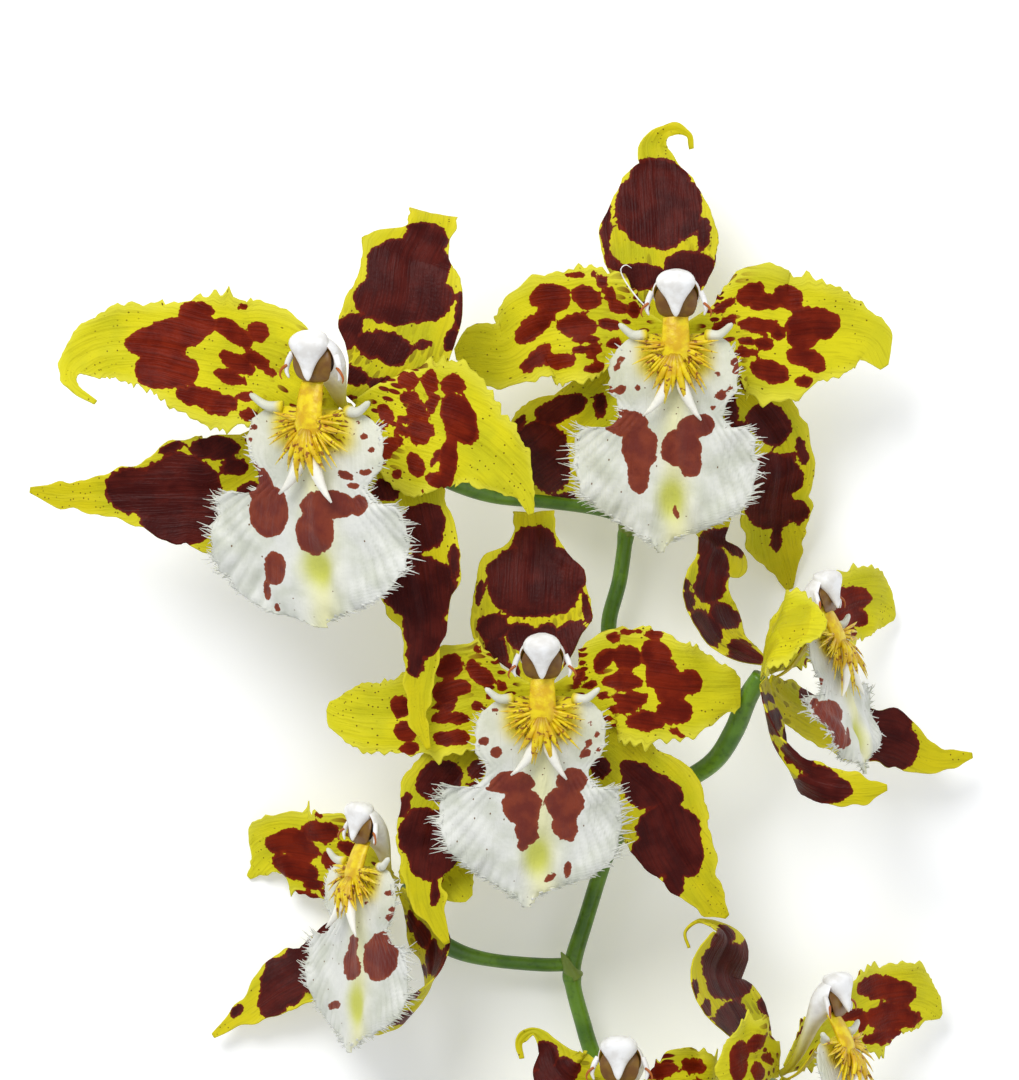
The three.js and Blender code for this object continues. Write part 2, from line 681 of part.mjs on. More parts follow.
// The middle surface of a lip: side lobes drawn up into horns, then the broad rippled lobe with its fringe.
function lipSurface(bloom, seed) {
  const random = seededRandom(seed);
  const { columns, rows } = LIP_GRID;
  const middle = smoothCurve(LIP_STATIONS.map(([right, up, forward]) => new THREE.Vector3(right, up, forward)));
  const shape = smoothCurve(
    LIP_STATIONS.map(([, , , left, right, drawn]) => new THREE.Vector3(left, right, drawn)),
  );
  const surface = [];
  for (let row = 0; row <= rows; row += 1) {
    const t = row / rows;
    const centre = middle.getPoint(t);
    const { x: left, y: right, z: drawn } = shape.getPoint(t);
    const fringed = t > FRINGE_FROM && row < rows ? LIP_KIND.tooth * (row % 2 ? 0.5 : -0.5) : 0;
    const points = [];
    for (let column = 0; column <= columns; column += 1) {
      const u = (2 * column) / columns - 1;
      const half = Math.max(u < 0 ? left : right, LEAST_HALF_WIDTH);
      const edge = Math.abs(u) === 1 ? Math.sign(u) * fringed * (0.7 + 0.6 * random()) : 0;
      const ripple = t > FRINGE_FROM ? rippleHeight(LIP_KIND, t, u, 1.1) : 0;
      const forward = centre.z + LIP_KIND.dish * half * u * u + ripple;
      const across = (centre.x + u * half + edge) * bloom.lip.across;
      const up = lifted(bloom, (centre.y + drawn * u * u) * bloom.lip.along, centre.z);
      const hanging = THREE.MathUtils.clamp((SWING_FROM_UP - centre.y) / SWING_LENGTH, 0, 1);
      points.push(inBloom(bloom, across, up, forward - bloom.lip.swing * hanging));
    }
    surface.push(points);
  }
  return surface;
}

// Unit normals of a surface given as rows of points, from the points before and after each.
function surfaceNormals(surface) {
  const rows = surface.length - 1;
  const columns = surface[0].length - 1;
  return surface.map((points, row) =>
    points.map((_, column) => {
      const acrossWay = points[Math.min(column + 1, columns)].clone().sub(points[Math.max(column - 1, 0)]);
      const alongWay = surface[Math.min(row + 1, rows)][column].clone();
      alongWay.sub(surface[Math.max(row - 1, 0)][column]);
      return acrossWay.cross(alongWay).normalize();
    }),
  );
}

// The corners of a surface's grid in order round its edge, seen from the front.
function edgeLoop(rows, columns) {
  const width = columns + 1;
  const loop = [];
  for (let column = 0; column < columns; column += 1) loop.push(column);
  for (let row = 0; row < rows; row += 1) loop.push(row * width + columns);
  for (let column = columns; column > 0; column -= 1) loop.push(rows * width + column);
  for (let row = rows; row > 0; row -= 1) loop.push(row * width);
  return loop;
}

// A surface given a thickness: both faces are split into triangles alike and joined round the edge.
function thickened(surface, thickness) {
  const rows = surface.length - 1;
  const columns = surface[0].length - 1;
  const width = columns + 1;
  const count = (rows + 1) * width;
  const normals = surfaceNormals(surface).flat();
  const middle = surface.flat();
  const front = middle.map((point, i) => point.clone().addScaledVector(normals[i], thickness / 2));
  const back = middle.map((point, i) => point.clone().addScaledVector(normals[i], -thickness / 2));
  const triangles = [];
  for (let row = 0; row < rows; row += 1) {
    for (let column = 0; column < columns; column += 1) {
      const a = row * width + column;
      const b = a + 1;
      const c = a + width;
      const d = c + 1;
      triangles.push([a, b, c], [b, d, c]);
      triangles.push([a + count, c + count, b + count], [b + count, c + count, d + count]);
    }
  }
  const loop = edgeLoop(rows, columns);
  loop.forEach((p, i) => {
    const q = loop[(i + 1) % loop.length];
    triangles.push([q, p, p + count], [q, p + count, q + count]);
  });
  return { points: [...front, ...back], triangles };
}

// A closed tube through rings of points, each ring turning the same way about the line they follow.
function tube(rings) {
  const sides = rings[0].length;
  const points = rings.flat();
  const triangles = [];
  for (let ring = 0; ring < rings.length - 1; ring += 1) {
    for (let side = 0; side < sides; side += 1) {
      const a = ring * sides + side;
      const b = ring * sides + ((side + 1) % sides);
      triangles.push([a, b, a + sides], [b, b + sides, a + sides]);
    }
  }
  const last = (rings.length - 1) * sides;
  for (let side = 1; side < sides - 1; side += 1) {
    triangles.push([0, side + 1, side], [last, last + side, last + side + 1]);
  }
  return { points, triangles };
}

// A ring of points about a centre, turning from one direction to the other.
function ring(centre, first, second, sides) {
  return Array.from({ length: sides }, (_, i) => {
    const angle = (2 * Math.PI * i) / sides;
    return centre.clone().addScaledVector(first, Math.cos(angle)).addScaledVector(second, Math.sin(angle));
  });
}

// A round stalk through points that each carry a radius.
function stalk(stations, sides, stepsPerStation) {
  const line = smoothCurve(stations.map(([x, y, z]) => new THREE.Vector3(x, y, z)));
  const radii = smoothCurve(stations.map(([, , , radius]) => new THREE.Vector3(radius, 0, 0)));
  const steps = (stations.length - 1) * stepsPerStation;
  const first = new THREE.Vector3(0.13, 0.21, 1);
  const rings = [];
  for (let step = 0; step <= steps; step += 1) {
    const along = line.getTangent(step / steps);
    first.addScaledVector(along, -first.dot(along)).normalize();
    const second = along.clone().cross(first);
    const radius = radii.getPoint(step / steps).x;
    const centre = line.getPoint(step / steps);
    rings.push(ring(centre, first.clone().multiplyScalar(radius), second.multiplyScalar(radius), sides));
  }
  return tube(rings);
}

// A straight pointed spike.
function spike(foot, tip, radius, sides) {
  const along = tip.clone().sub(foot).normalize();
  const first = new THREE.Vector3(0.31, 0.17, 1).cross(along).normalize();
  const second = along.clone().cross(first);
  const points = ring(foot, first.multiplyScalar(radius), second.multiplyScalar(radius), sides);
  const apex = points.push(tip) - 1;
  const triangles = [];
  for (let side = 0; side < sides; side += 1) triangles.push([side, (side + 1) % sides, apex]);
  for (let side = 1; side < sides - 1; side += 1) triangles.push([0, side + 1, side]);
  return { points, triangles };
}

// Rings laid out in a bloom's frame: each is an oval across the bloom, square to the line of the centres.
function ovalRings(bloom, stations, sides) {
  const axes = bloomAxes(bloom);
  const centres = stations.map(([up, forward]) => inBloom(bloom, 0, lifted(bloom, up, forward), forward));
  const line = smoothCurve(centres);
  return stations.map(([, , halfWidth, halfDepth], i) => {
    const along = line.getTangent(i / (stations.length - 1));
    const across = axes.right.clone().multiplyScalar(halfWidth * bloom.size);
    const depth = along.cross(axes.right).multiplyScalar(halfDepth * bloom.size);
    return ring(centres[i], across, depth, sides);
  });
}

// One finger of the crest, from its root out at an angle measured round the bloom's forward direction.
function crestFinger(bloom, { degrees, long, radius, rise }) {
  const angle = THREE.MathUtils.degToRad(degrees);
  const rootUp = CREST_ROOT.up + bloom.lip.lift;
  const foot = inBloom(bloom, 0.9 * Math.cos(angle), rootUp + 1.4 * Math.sin(angle), CREST_ROOT.forward);
  const tip = inBloom(bloom, long * Math.cos(angle), rootUp + long * Math.sin(angle), CREST_ROOT.forward + rise);
  return spike(foot, tip, radius * bloom.size, 3);
}

// The crest's pad with its fan of fingers and two prongs.
function crestParts(bloom, seed) {
  const random = seededRandom(seed);
  const parts = [tube(ovalRings(bloom, CREST_RINGS, CREST_SIDES))];
  const step = (FINGERS.toDegrees - FINGERS.fromDegrees) / (FINGERS.count - 1);
  for (let i = 0; i < FINGERS.count; i += 1) {
    parts.push(
      crestFinger(bloom, {
        degrees: FINGERS.fromDegrees + step * (i + 0.5 * (random() - 0.5)),
        long: FINGERS.long * (0.85 + 0.3 * random()),
        radius: FINGERS.radius,
        rise: FINGERS.rise * (0.4 + 1.2 * random()),
      }),
    );
  }
  PRONGS.forEach((prong) => parts.push(crestFinger(bloom, prong)));
  return parts;
}

// The stalk with its footstalks, ovaries and bracts.
function stemParts() {
  const parts = [stalk(RACHIS, STALK_SIDES, STALK_STEPS)];
  Object.values(FOOTSTALKS).forEach((stations) => {
    parts.push(stalk(stations, FOOTSTALK_SIDES, STALK_STEPS));
  });
  BRACTS.forEach(({ foot, tip, radius }) => {
    parts.push(spike(new THREE.Vector3(...foot), new THREE.Vector3(...tip), radius, 6));
  });
  return parts;
}

function solidOf({ points, triangles }) {
  return new wasm.Manifold(
    new wasm.Mesh({
      numProp: 3,
      vertProperties: new Float32Array(points.flatMap((point) => point.toArray())),
      triVerts: new Uint32Array(triangles.flat()),
    }),
  );
}

// Several closed shapes that run into each other, as one.
function fused(parts) {
  const whole = parts.map(solidOf).reduce((sum, part) => sum.add(part));
  const { numProp, numVert, vertProperties, triVerts } = whole.getMesh();
  const points = Array.from({ length: numVert }, (_, i) =>
    new THREE.Vector3().fromArray(vertProperties, i * numProp),
  );
  const triangles = Array.from({ length: triVerts.length / 3 }, (_, i) => [...triVerts.slice(3 * i, 3 * i + 3)]);
  return { points, triangles };
}

function meshOf(name, kind, { points, triangles }) {
  const geometry = new THREE.BufferGeometry().setFromPoints(points);
  geometry.setIndex(triangles.flat());
  geometry.computeVertexNormals();
  const material = new THREE.MeshStandardMaterial({ color: COLOURS[kind], roughness: 0.55, metalness: 0 });
  const mesh = new THREE.Mesh(geometry, material);
  mesh.name = name;
  return mesh;
}

function tepalMesh(letter, kindName) {
  const bloom = BLOOMS[letter];
  const name = `bloom_${letter}_${kindName}`;
  const centre = new THREE.Vector3(...bloom.at);
  const lean = new THREE.Vector3(...bloom.lean).normalize();
  const surface = tepalSurface(bloom[kindName], lean, TEPAL_KINDS[kindName], seedOf(name));
  const placed = surface.map((row) => row.map((point) => point.add(centre)));
  return meshOf(name, kindName, thickened(placed, TEPAL_THICKNESS));
}

function bloomMeshes(letter) {
  const bloom = BLOOMS[letter];
  const name = (kind) => `bloom_${letter}_${kind}`;
  return [
    ...Object.keys(TEPAL_KINDS).map((kindName) => tepalMesh(letter, kindName)),
    meshOf(name("lip"), "lip", thickened(lipSurface(bloom, seedOf(name("lip"))), LIP_THICKNESS)),
    meshOf(name("crest"), "crest", fused(crestParts(bloom, seedOf(name("crest"))))),
    meshOf(name("column"), "column", tube(ovalRings(bloom, COLUMN_RINGS, COLUMN_SIDES))),
  ];
}

// The whole stem, set with the middle of its footprint at the origin and its lowest point on the table.
function stemAndBlooms() {
  const group = new THREE.Group();
  group.add(meshOf("stem", "stem", fused(stemParts())));
  Object.keys(BLOOMS).forEach((letter) => group.add(...bloomMeshes(letter)));
  const box = new THREE.Box3().setFromObject(group);
  group.position.set(-(box.min.x + box.max.x) / 2, -(box.min.y + box.max.y) / 2, -box.min.z);
  return group;
}

export default stemAndBlooms();
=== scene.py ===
# The looks of a cut orchid stem with seven blooms, lying on a pale table and seen from straight above.
import bpy
import numpy as np
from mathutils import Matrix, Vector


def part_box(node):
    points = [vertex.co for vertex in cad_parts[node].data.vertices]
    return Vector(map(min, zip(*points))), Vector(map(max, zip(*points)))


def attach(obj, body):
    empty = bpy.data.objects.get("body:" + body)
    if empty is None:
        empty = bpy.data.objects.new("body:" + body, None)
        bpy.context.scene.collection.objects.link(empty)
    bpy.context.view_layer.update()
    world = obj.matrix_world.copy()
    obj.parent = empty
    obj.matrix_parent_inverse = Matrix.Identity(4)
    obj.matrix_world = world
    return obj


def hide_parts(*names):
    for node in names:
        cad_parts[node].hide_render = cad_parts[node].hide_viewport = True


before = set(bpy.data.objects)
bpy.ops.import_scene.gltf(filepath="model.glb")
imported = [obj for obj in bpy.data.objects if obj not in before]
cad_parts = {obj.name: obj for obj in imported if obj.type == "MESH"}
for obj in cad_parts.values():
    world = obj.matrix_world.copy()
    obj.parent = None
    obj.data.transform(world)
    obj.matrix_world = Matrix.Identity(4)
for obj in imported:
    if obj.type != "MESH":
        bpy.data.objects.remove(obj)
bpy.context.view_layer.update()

# Everything is worked out in mm in the stem's own frame and moved onto the table at the end.
stemLowCorner = np.array([-31.383, -216.195, 0.032])
tableShift = np.array(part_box("stem")[0]) * 1000 - stemLowCorner
metresPerMm = 0.001
mapPerMm = 0.01  # the blades' own map runs from 0 to 1 over 100 mm


# Rows of vectors scaled to length one.
def unit(vectors):
    return vectors / np.maximum(np.linalg.norm(vectors, axis=-1, keepdims=True), 1e-9)


# Smooth step from 0 at low to 1 at high.
def smoothStep(value, low, high):
    share = np.clip((value - low) / (high - low), 0, 1)
    return share * share * (3 - 2 * share)


# Catmull-Rom curve through rows of numbers, its ends carried straight on: its value and slope at each t.
def curveThrough(rows, t):
    rows = np.asarray(rows, float)
    ends = np.vstack([2 * rows[:1] - rows[1:2], rows, 2 * rows[-1:] - rows[-2:-1]])
    place = np.clip(t, 0, 1) * (len(rows) - 1)
    start = np.minimum(place.astype(int), len(rows) - 2)
    s = (place - start)[:, None]
    before, here, there, after = (ends[start + k] for k in range(4))
    leaving, arriving = (there - before) / 2, (after - here) / 2
    value = (2 * s**3 - 3 * s**2 + 1) * here + (s**3 - 2 * s**2 + s) * leaving
    value += (3 * s**2 - 2 * s**3) * there + (s**3 - s**2) * arriving
    slope = (6 * s**2 - 6 * s) * (here - there) + (3 * s**2 - 4 * s + 1) * leaving
    slope += (3 * s**2 - 2 * s) * arriving
    return value, slope


# The way across a rib: square to it all along, carried on from row to row without twisting.
def carriedAcross(along, first):
    across = np.empty_like(along)
    carried = first
    for row in range(len(along)):
        carried = unit(carried - along[row] * (carried @ along[row]))
        across[row] = carried
    return across


# Uneven teeth along an edge: straight lines between knots, low ones and ones of random height by turns,
# in a fine row and a coarse row added up, from -0.25 to 0.75.
def edgeTeeth(t, length, random):
    heights = np.zeros_like(t)
    for spacing, share in ((0.8, 0.5), (1.5, 0.5)):
        knots = random.random(max(4, int(length / spacing))) ** 1.3
        knots[::2] *= 0.1
        heights += share * np.interp(t, np.linspace(0, 1, len(knots)), knots)
    return heights - 0.25


# Broad lobes along an edge: three waves with random starts, from -1 to 1.
def edgeLobes(t, length, random):
    starts = random.random(3) * 2 * np.pi
    waves = np.zeros_like(t)
    for start, (span, share) in zip(starts, ((13, 0.4), (8.5, 0.35), (5.2, 0.25))):
        waves += share * np.sin(2 * np.pi * t * length / span + start)
    return waves


# Depth inside a set of ovals in mm: below 0 inside, above 0 outside, the nearest oval counting.
def ovalDepth(x, y, ovals):
    depth = np.full(x.shape, 9.0)
    for oval in ovals:
        atX, atY, half, breadth = oval[:4]
        tilt = np.radians(oval[4] if len(oval) > 4 else 0)
        along = (x - atX) * np.cos(tilt) + (y - atY) * np.sin(tilt)
        across = (y - atY) * np.cos(tilt) - (x - atX) * np.sin(tilt)
        reach = np.hypot(along / half, across / breadth)
        steep = np.hypot(along / half**2, across / breadth**2)
        depth = np.minimum(depth, reach * (reach - 1) / np.maximum(steep, 1e-3))
    return np.clip(depth, -3, 9)


# Faces of a grid of points, rows by columns, joined round if closed.
def gridFaces(rows, columns, closed=False, turned=False):
    width = columns if closed else columns + 1
    row = np.arange(rows)[:, None]
    column = np.arange(columns)[None, :]
    a = row * width + column
    b = row * width + (column + 1) % width
    faces = np.stack([a, b, b + width, a + width], -1).reshape(-1, 4)
    return faces[:, ::-1] if turned else faces


# Corners of a grid in order round its edge.
def gridEdge(rows, columns):
    width = columns + 1
    top = np.arange(columns)
    right = np.arange(rows) * width + columns
    bottom = rows * width + np.arange(columns, 0, -1)
    left = np.arange(rows, 0, -1) * width
    return np.concatenate([top, right, bottom, left])


# A surface with two faces and a rim: every point moved half the thickness out along the normal and half in.
def thickened(surface, thickness, values, uv):
    rows, columns = surface.shape[0] - 1, surface.shape[1] - 1
    normals = unit(np.cross(np.gradient(surface, axis=1), np.gradient(surface, axis=0)))
    front = surface + normals * thickness[..., None] / 2
    back = surface - normals * thickness[..., None] / 2
    count = (rows + 1) * (columns + 1)
    edge = gridEdge(rows, columns)
    after = np.roll(edge, -1)
    quads = [
        gridFaces(rows, columns),
        gridFaces(rows, columns, turned=True) + count,
        np.stack([after, edge, edge + count, after + count], -1),
    ]
    both = {name: np.tile(value.ravel(), 2) for name, value in values.items()}
    both["backSide"] = np.repeat([0.0, 1.0], count)
    return {
        "points": np.vstack([front.reshape(-1, 3), back.reshape(-1, 3)]),
        "faces": [np.vstack(quads)], "values": both, "uv": np.tile(uv.reshape(-1, 2), (2, 1)),
    }


# Triangles that close both ends of a row of rings, about two middle points that follow the rings' own.
def endFans(rings, sides):
    side = np.arange(sides)
    nextSide = (side + 1) % sides
    last = (rings - 1) * sides
    foot = np.stack([np.full(sides, rings * sides), nextSide, side], -1)
    tip = np.stack([np.full(sides, rings * sides + 1), last + side, last + nextSide], -1)
    return np.vstack([foot, tip])


# Tubes along many paths at once: rings square to each path, both ends closed by a fan about a middle point.
def tubes(paths, radii, sides, values=None):
    paths = np.asarray(paths, float)
    radii = np.asarray(radii, float)
    count, rings = paths.shape[:2]
    along = unit(np.gradient(paths, axis=1))
    first = unit(np.cross(along, np.array([0.31, 0.17, 0.93])))
    second = np.cross(along, first)
    angle = np.linspace(0, 2 * np.pi, sides, endpoint=False)
    ring = first[:, :, None] * np.cos(angle)[:, None] + second[:, :, None] * np.sin(angle)[:, None]
    shell = paths[:, :, None] + ring * radii[:, :, None, None]
    ends = paths[:, [0, -1]]
    points = np.concatenate([shell.reshape(count, -1, 3), ends], 1)
    offsets = (np.arange(count) * points.shape[1])[:, None, None]
    quads = (gridFaces(rings - 1, sides, closed=True)[None] + offsets).reshape(-1, 4)
    fans = (endFans(rings, sides)[None] + offsets).reshape(-1, 3)
    steps = np.repeat(np.linspace(0, 1, rings), sides)
    share = np.tile(np.concatenate([steps, [0, 1]]), count)
    full = {name: np.full(len(share), float(value)) for name, value in (values or {}).items()}
    full["share"] = share
    return {"points": points.reshape(-1, 3), "faces": [quads, fans], "values": full}


# A closed shell through rings given as an array rings by sides, with a fan at each end.
def shell(rings, values=None):
    count, sides = rings.shape[:2]
    middles = np.stack([rings[0].mean(0), rings[-1].mean(0)])
    return {
        "points": np.vstack([rings.reshape(-1, 3), middles]),
        "faces": [gridFaces(count - 1, sides, closed=True), endFans(count, sides)],
        "values": {name: np.append(value.ravel(), [value.ravel()[0], value.ravel()[-1]])
                   for name, value in (values or {}).items()},
    }


# One mesh object made of parts, standing for a CAD node. The parts' named values become attributes of the
# points, and its finish is the one of its slot.
def makePiece(name, node, slot, parts):
    mesh = bpy.data.meshes.new(name)
    offsets = np.cumsum([0] + [len(part["points"]) for part in parts])
    points = (np.vstack([part["points"] for part in parts]) + tableShift) * metresPerMm
    loops, totals = [], []
    for part, offset in zip(parts, offsets):
        for faces in part["faces"]:
            loops.append((faces + offset).ravel())
            totals.append(np.full(len(faces), faces.shape[1]))
    loops = np.concatenate(loops)
    totals = np.concatenate(totals)
    mesh.vertices.add(len(points))
    mesh.vertices.foreach_set("co", points.ravel())
    mesh.loops.add(len(loops))
    mesh.loops.foreach_set("vertex_index", loops.astype(np.int32))
    mesh.polygons.add(len(totals))
    mesh.polygons.foreach_set("loop_start", np.concatenate([[0], np.cumsum(totals)[:-1]]).astype(np.int32))
    mesh.polygons.foreach_set("use_smooth", np.ones(len(totals), bool))
    mesh.update(calc_edges=True)
    mesh.validate()
    for key in sorted({key for part in parts for key in part["values"]}):
        attribute = mesh.attributes.new(key, "FLOAT", "POINT")
        columns = [part["values"].get(key, np.zeros(len(part["points"]))) for part in parts]
        attribute.data.foreach_set("value", np.concatenate(columns).astype(np.float32))
    blank = [part.get("uv", np.zeros((len(part["points"]), 2))) for part in parts]
    layer = mesh.uv_layers.new(name="blade")
    corners = np.zeros(len(mesh.loops), np.int32)
    mesh.loops.foreach_get("vertex_index", corners)
    layer.data.foreach_set("uv", np.vstack(blank)[corners].astype(np.float32).ravel())
    mesh.materials.append(finishes[slot])
    piece = bpy.data.objects.new(name, mesh)
    bpy.context.scene.collection.objects.link(piece)
    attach(piece, "root")
    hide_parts(node)


# A colour of the screen as the shader's own numbers.
def paint(code):
    parts = np.array([int(code[k:k + 2], 16) for k in (1, 3, 5)]) / 255
    linear = np.where(parts <= 0.04045, parts / 12.92, ((parts + 0.055) / 1.055) ** 2.4)
    return (*linear, 1.0)


class Wire:
    # A socket that sums can be written with: each sum adds its Math node.
    def __init__(self, board, socket):
        self.board = board
        self.socket = socket

    def __add__(self, other):
        return self.board.maths("ADD", self, other)

    def __sub__(self, other):
        return self.board.maths("SUBTRACT", self, other)

    def __rsub__(self, other):
        return self.board.maths("SUBTRACT", other, self)

    def __mul__(self, other):
        return self.board.maths("MULTIPLY", self, other)

    __radd__ = __add__
    __rmul__ = __mul__


class Board:
    # The nodes of one material.
    def __init__(self, name):
        self.material = bpy.data.materials.new(name)
        self.material.use_nodes = True
        self.tree = self.material.node_tree
        self.tree.nodes.clear()

    # Any node: its type, its settings, then the values or wires of its sockets; gives the wanted output.
    def add(self, kind, settings=None, sockets=None, out=0):
        node = self.tree.nodes.new(kind)
        for key, value in (settings or {}).items():
            setattr(node, key, value)
        for key, value in (sockets or {}).items():
            if isinstance(value, Wire):
                self.tree.links.new(value.socket, node.inputs[key])
            else:
                node.inputs[key].default_value = value
        return Wire(self, node.outputs[out]) if node.outputs else None

    # One Math node on numbers and wires.
    def maths(self, operation, *values):
        return self.add("ShaderNodeMath", {"operation": operation}, dict(enumerate(values)))

    # From 0 where the value is at low to 1 where it is at high, smoothly.
    def step(self, value, low, high):
        sockets = {"Value": value, "From Min": low, "From Max": high, "To Min": 0.0, "To Max": 1.0}
        return self.add("ShaderNodeMapRange", {"interpolation_type": "SMOOTHSTEP"}, sockets)

    # A value carried by the points of the piece.
    def mark(self, name):
        return self.add("ShaderNodeAttribute", {"attribute_name": name}, out="Fac")

    # The first colour where the share is 0, the second where it is 1. A colour is a code or a wire, and the
    # numbers are the colour sockets of the node.
    def blend(self, share, first, second):
        first, second = (paint(colour) if isinstance(colour, str) else colour for colour in (first, second))
        settings = {"data_type": "RGBA", "blend_type": "MIX"}
        return self.add("ShaderNodeMix", settings, {0: share, 6: first, 7: second}, 2)

    # Cloudy noise in the piece's own space: size is the width of a cloud in mm.
    def cloud(self, size, detail=3.0):
        place = self.add("ShaderNodeTexCoord", out="Object")
        return self.add("ShaderNodeTexNoise", sockets={
            "Vector": place, "Scale": 1000.0 / size, "Detail": detail, "Roughness": 0.5,
        })

    # Two colours in clouds: the first where the noise is under low, the second where it is over high.
    def mottled(self, size, low, high, first, second, detail=3.0):
        return self.blend(self.step(self.cloud(size, detail), low, high), first, second)

    # The blade's own map, stretched: across and along in cells of the given mm.
    def bladeMap(self, across, along):
        place = self.add("ShaderNodeUVMap", {"uv_map": "blade"})
        scale = (100.0 / across, 100.0 / along, 1.0)
        return self.add("ShaderNodeMapping", sockets={"Vector": place, "Scale": scale})

    # Lines that run along the blade, a given number of mm apart, wavering a little.
    def veins(self, spacing):
        return self.add("ShaderNodeTexNoise", {"noise_dimensions": "2D"}, {
            "Vector": self.bladeMap(spacing, spacing * 16), "Scale": 1.0, "Detail": 2.0, "Roughness": 0.6,
        })

    # Small round dots where the cell's own dice allow it: the cell is in mm, the dot a share of it.
    def dots(self, across, along, share, seldom):
        cells = {"Vector": self.bladeMap(across, along), "Scale": 1.0}
        near = self.add("ShaderNodeTexVoronoi", {"voronoi_dimensions": "2D"}, cells)
        dice = self.add("ShaderNodeTexVoronoi", {"voronoi_dimensions": "2D"}, cells, "Color")
        rolled = self.add("ShaderNodeSeparateColor", sockets={"Color": dice})
        return (1 - self.step(near, share * 0.75, share)) * self.step(rolled, seldom, seldom + 0.02)

    # The shader that ends it: constants on its own sockets, the rest by wires.
    def finish(self, colour, roughness, height=None, depth=0.2, **constants):
        sockets = {"Base Color": colour, "Roughness": roughness}
        sockets.update({key.replace("_", " "): value for key, value in constants.items()})
        if height is not None:
            bump = {"Strength": 0.6, "Distance": depth * metresPerMm, "Height": height}
            sockets["Normal"] = self.add("ShaderNodeBump", sockets=bump)
        shader = self.add("ShaderNodeBsdfPrincipled", sockets=sockets)
        self.add("ShaderNodeOutputMaterial", sockets={"Surface": shader})
        return self.material


# How each kind of blade is dished, rippled and toothed: the dish is a share of the half-width, the ripples
# are counted along the blade, and the rest is mm.
bladeKinds = {
    "dorsal_sepal": {
        "grid": (70, 28), "dish": 0.08, "ripple": 0.6, "ripples": 2.5, "tooth": 0.6, "lobe": 0.55,
        "buckle": 0.3,
    },
    "petal": {
        "grid": (120, 28), "dish": 0.04, "ripple": 0.9, "ripples": 3.5, "tooth": 3.5, "lobe": 0.5,
        "buckle": 0.4,
    },
    "lateral_sepal": {
        "grid": (70, 28), "dish": 0.1, "ripple": 0.6, "ripples": 2.5, "tooth": 0.6, "lobe": 0.8,
        "buckle": 0.3,
    },
}

# What all of them share, in mm: how thick they are, the shallow groove down the middle and how far a blotch
# reaches past its oval.
tepal = {"middle": 0.62, "edge": 0.26, "grooveDepth": 0.45, "grooveWidth": 0.9, "blotchGrowth": 0.08}


# Each blade has the points of its rib from the bloom's centre (right, up and towards the viewer, the
# half-widths to the left and right of the way it grows, then a roll) and its brown blotches as ovals seen
# from above (right and up of the bloom's centre, half-length, half-breadth, tilt in degrees). A blade drawn
# on the blade has its ovals along and across itself, and a blade seen through shows them on its back.
nearPetalBlotches = [(7, 0, 2.4, 1.2), (12, -3, 3, 1.8, 12), (13, 3, 3, 1.6, -10), (19, 0.5, 3.8, 4.2)]

# What the two blooms seen from their side share.
sideBloom = {
    "facing": (0.84, 0.25, 0.45), "up": (-0.2, 1, 0), "lean": (0.87, 0, 0.45), "crestSpread": 1.3,
    "left_lateral_sepal": {"rib": [
        (-0.9, -1.6, 0.5, 1.1, 1.1), (-1, -6.5, 5, 5.4, 5.4), (0.4, -13, 10, 7, 7),
        (3.8, -19, 15.6, 5.6, 5.6, -20), (10, -22.4, 19, 3.8, 4.2, -50), (16.4, -22.8, 20, 3, 3, -60),
        (22, -22.4, 20, 0.6, 0.6, -60),
    ], "blotches": [
        (-0.2, -9.7, 2, 2.4), (2.5, -7, 1.4, 2), (-1.3, -5.1, 1.6, 0.9, -20), (3.4, -13, 1.5, 3),
        (-0.4, -15.3, 2.6, 1.4, -60), (4.5, -16.2, 3.6, 1.9, -40), (8.9, -19.3, 3.6, 1.2, -10),
        (8.5, -22.8, 6.5, 2.9), (4.8, -8.4, 0.5, 2),
    ], "through": True},
    "right_lateral_sepal": {"rib": [
        (-0.2, -1.5, -1.6, 1.1, 1.1), (3, -5.2, -7.4, 3.4, 5), (10, -9, -14, 4.4, 6.6),
        (18, -12.6, -19, 5.4, 6), (25.4, -14.6, -22.2, 6.4, 5.6), (33.6, -18, -24, 3, 3.4),
        (41.6, -17.4, -26, 0.6, 0.6),
    ], "blotches": [
        (14.4, -6, 4, 2.6, -50), (19.6, -12, 7, 6, -35), (25.2, -11, 4.4, 4), (25.8, -15.8, 4.6, 5, -20),
        (8, -5, 2.8, 1.8, -30),
    ]},
}

blooms = {}

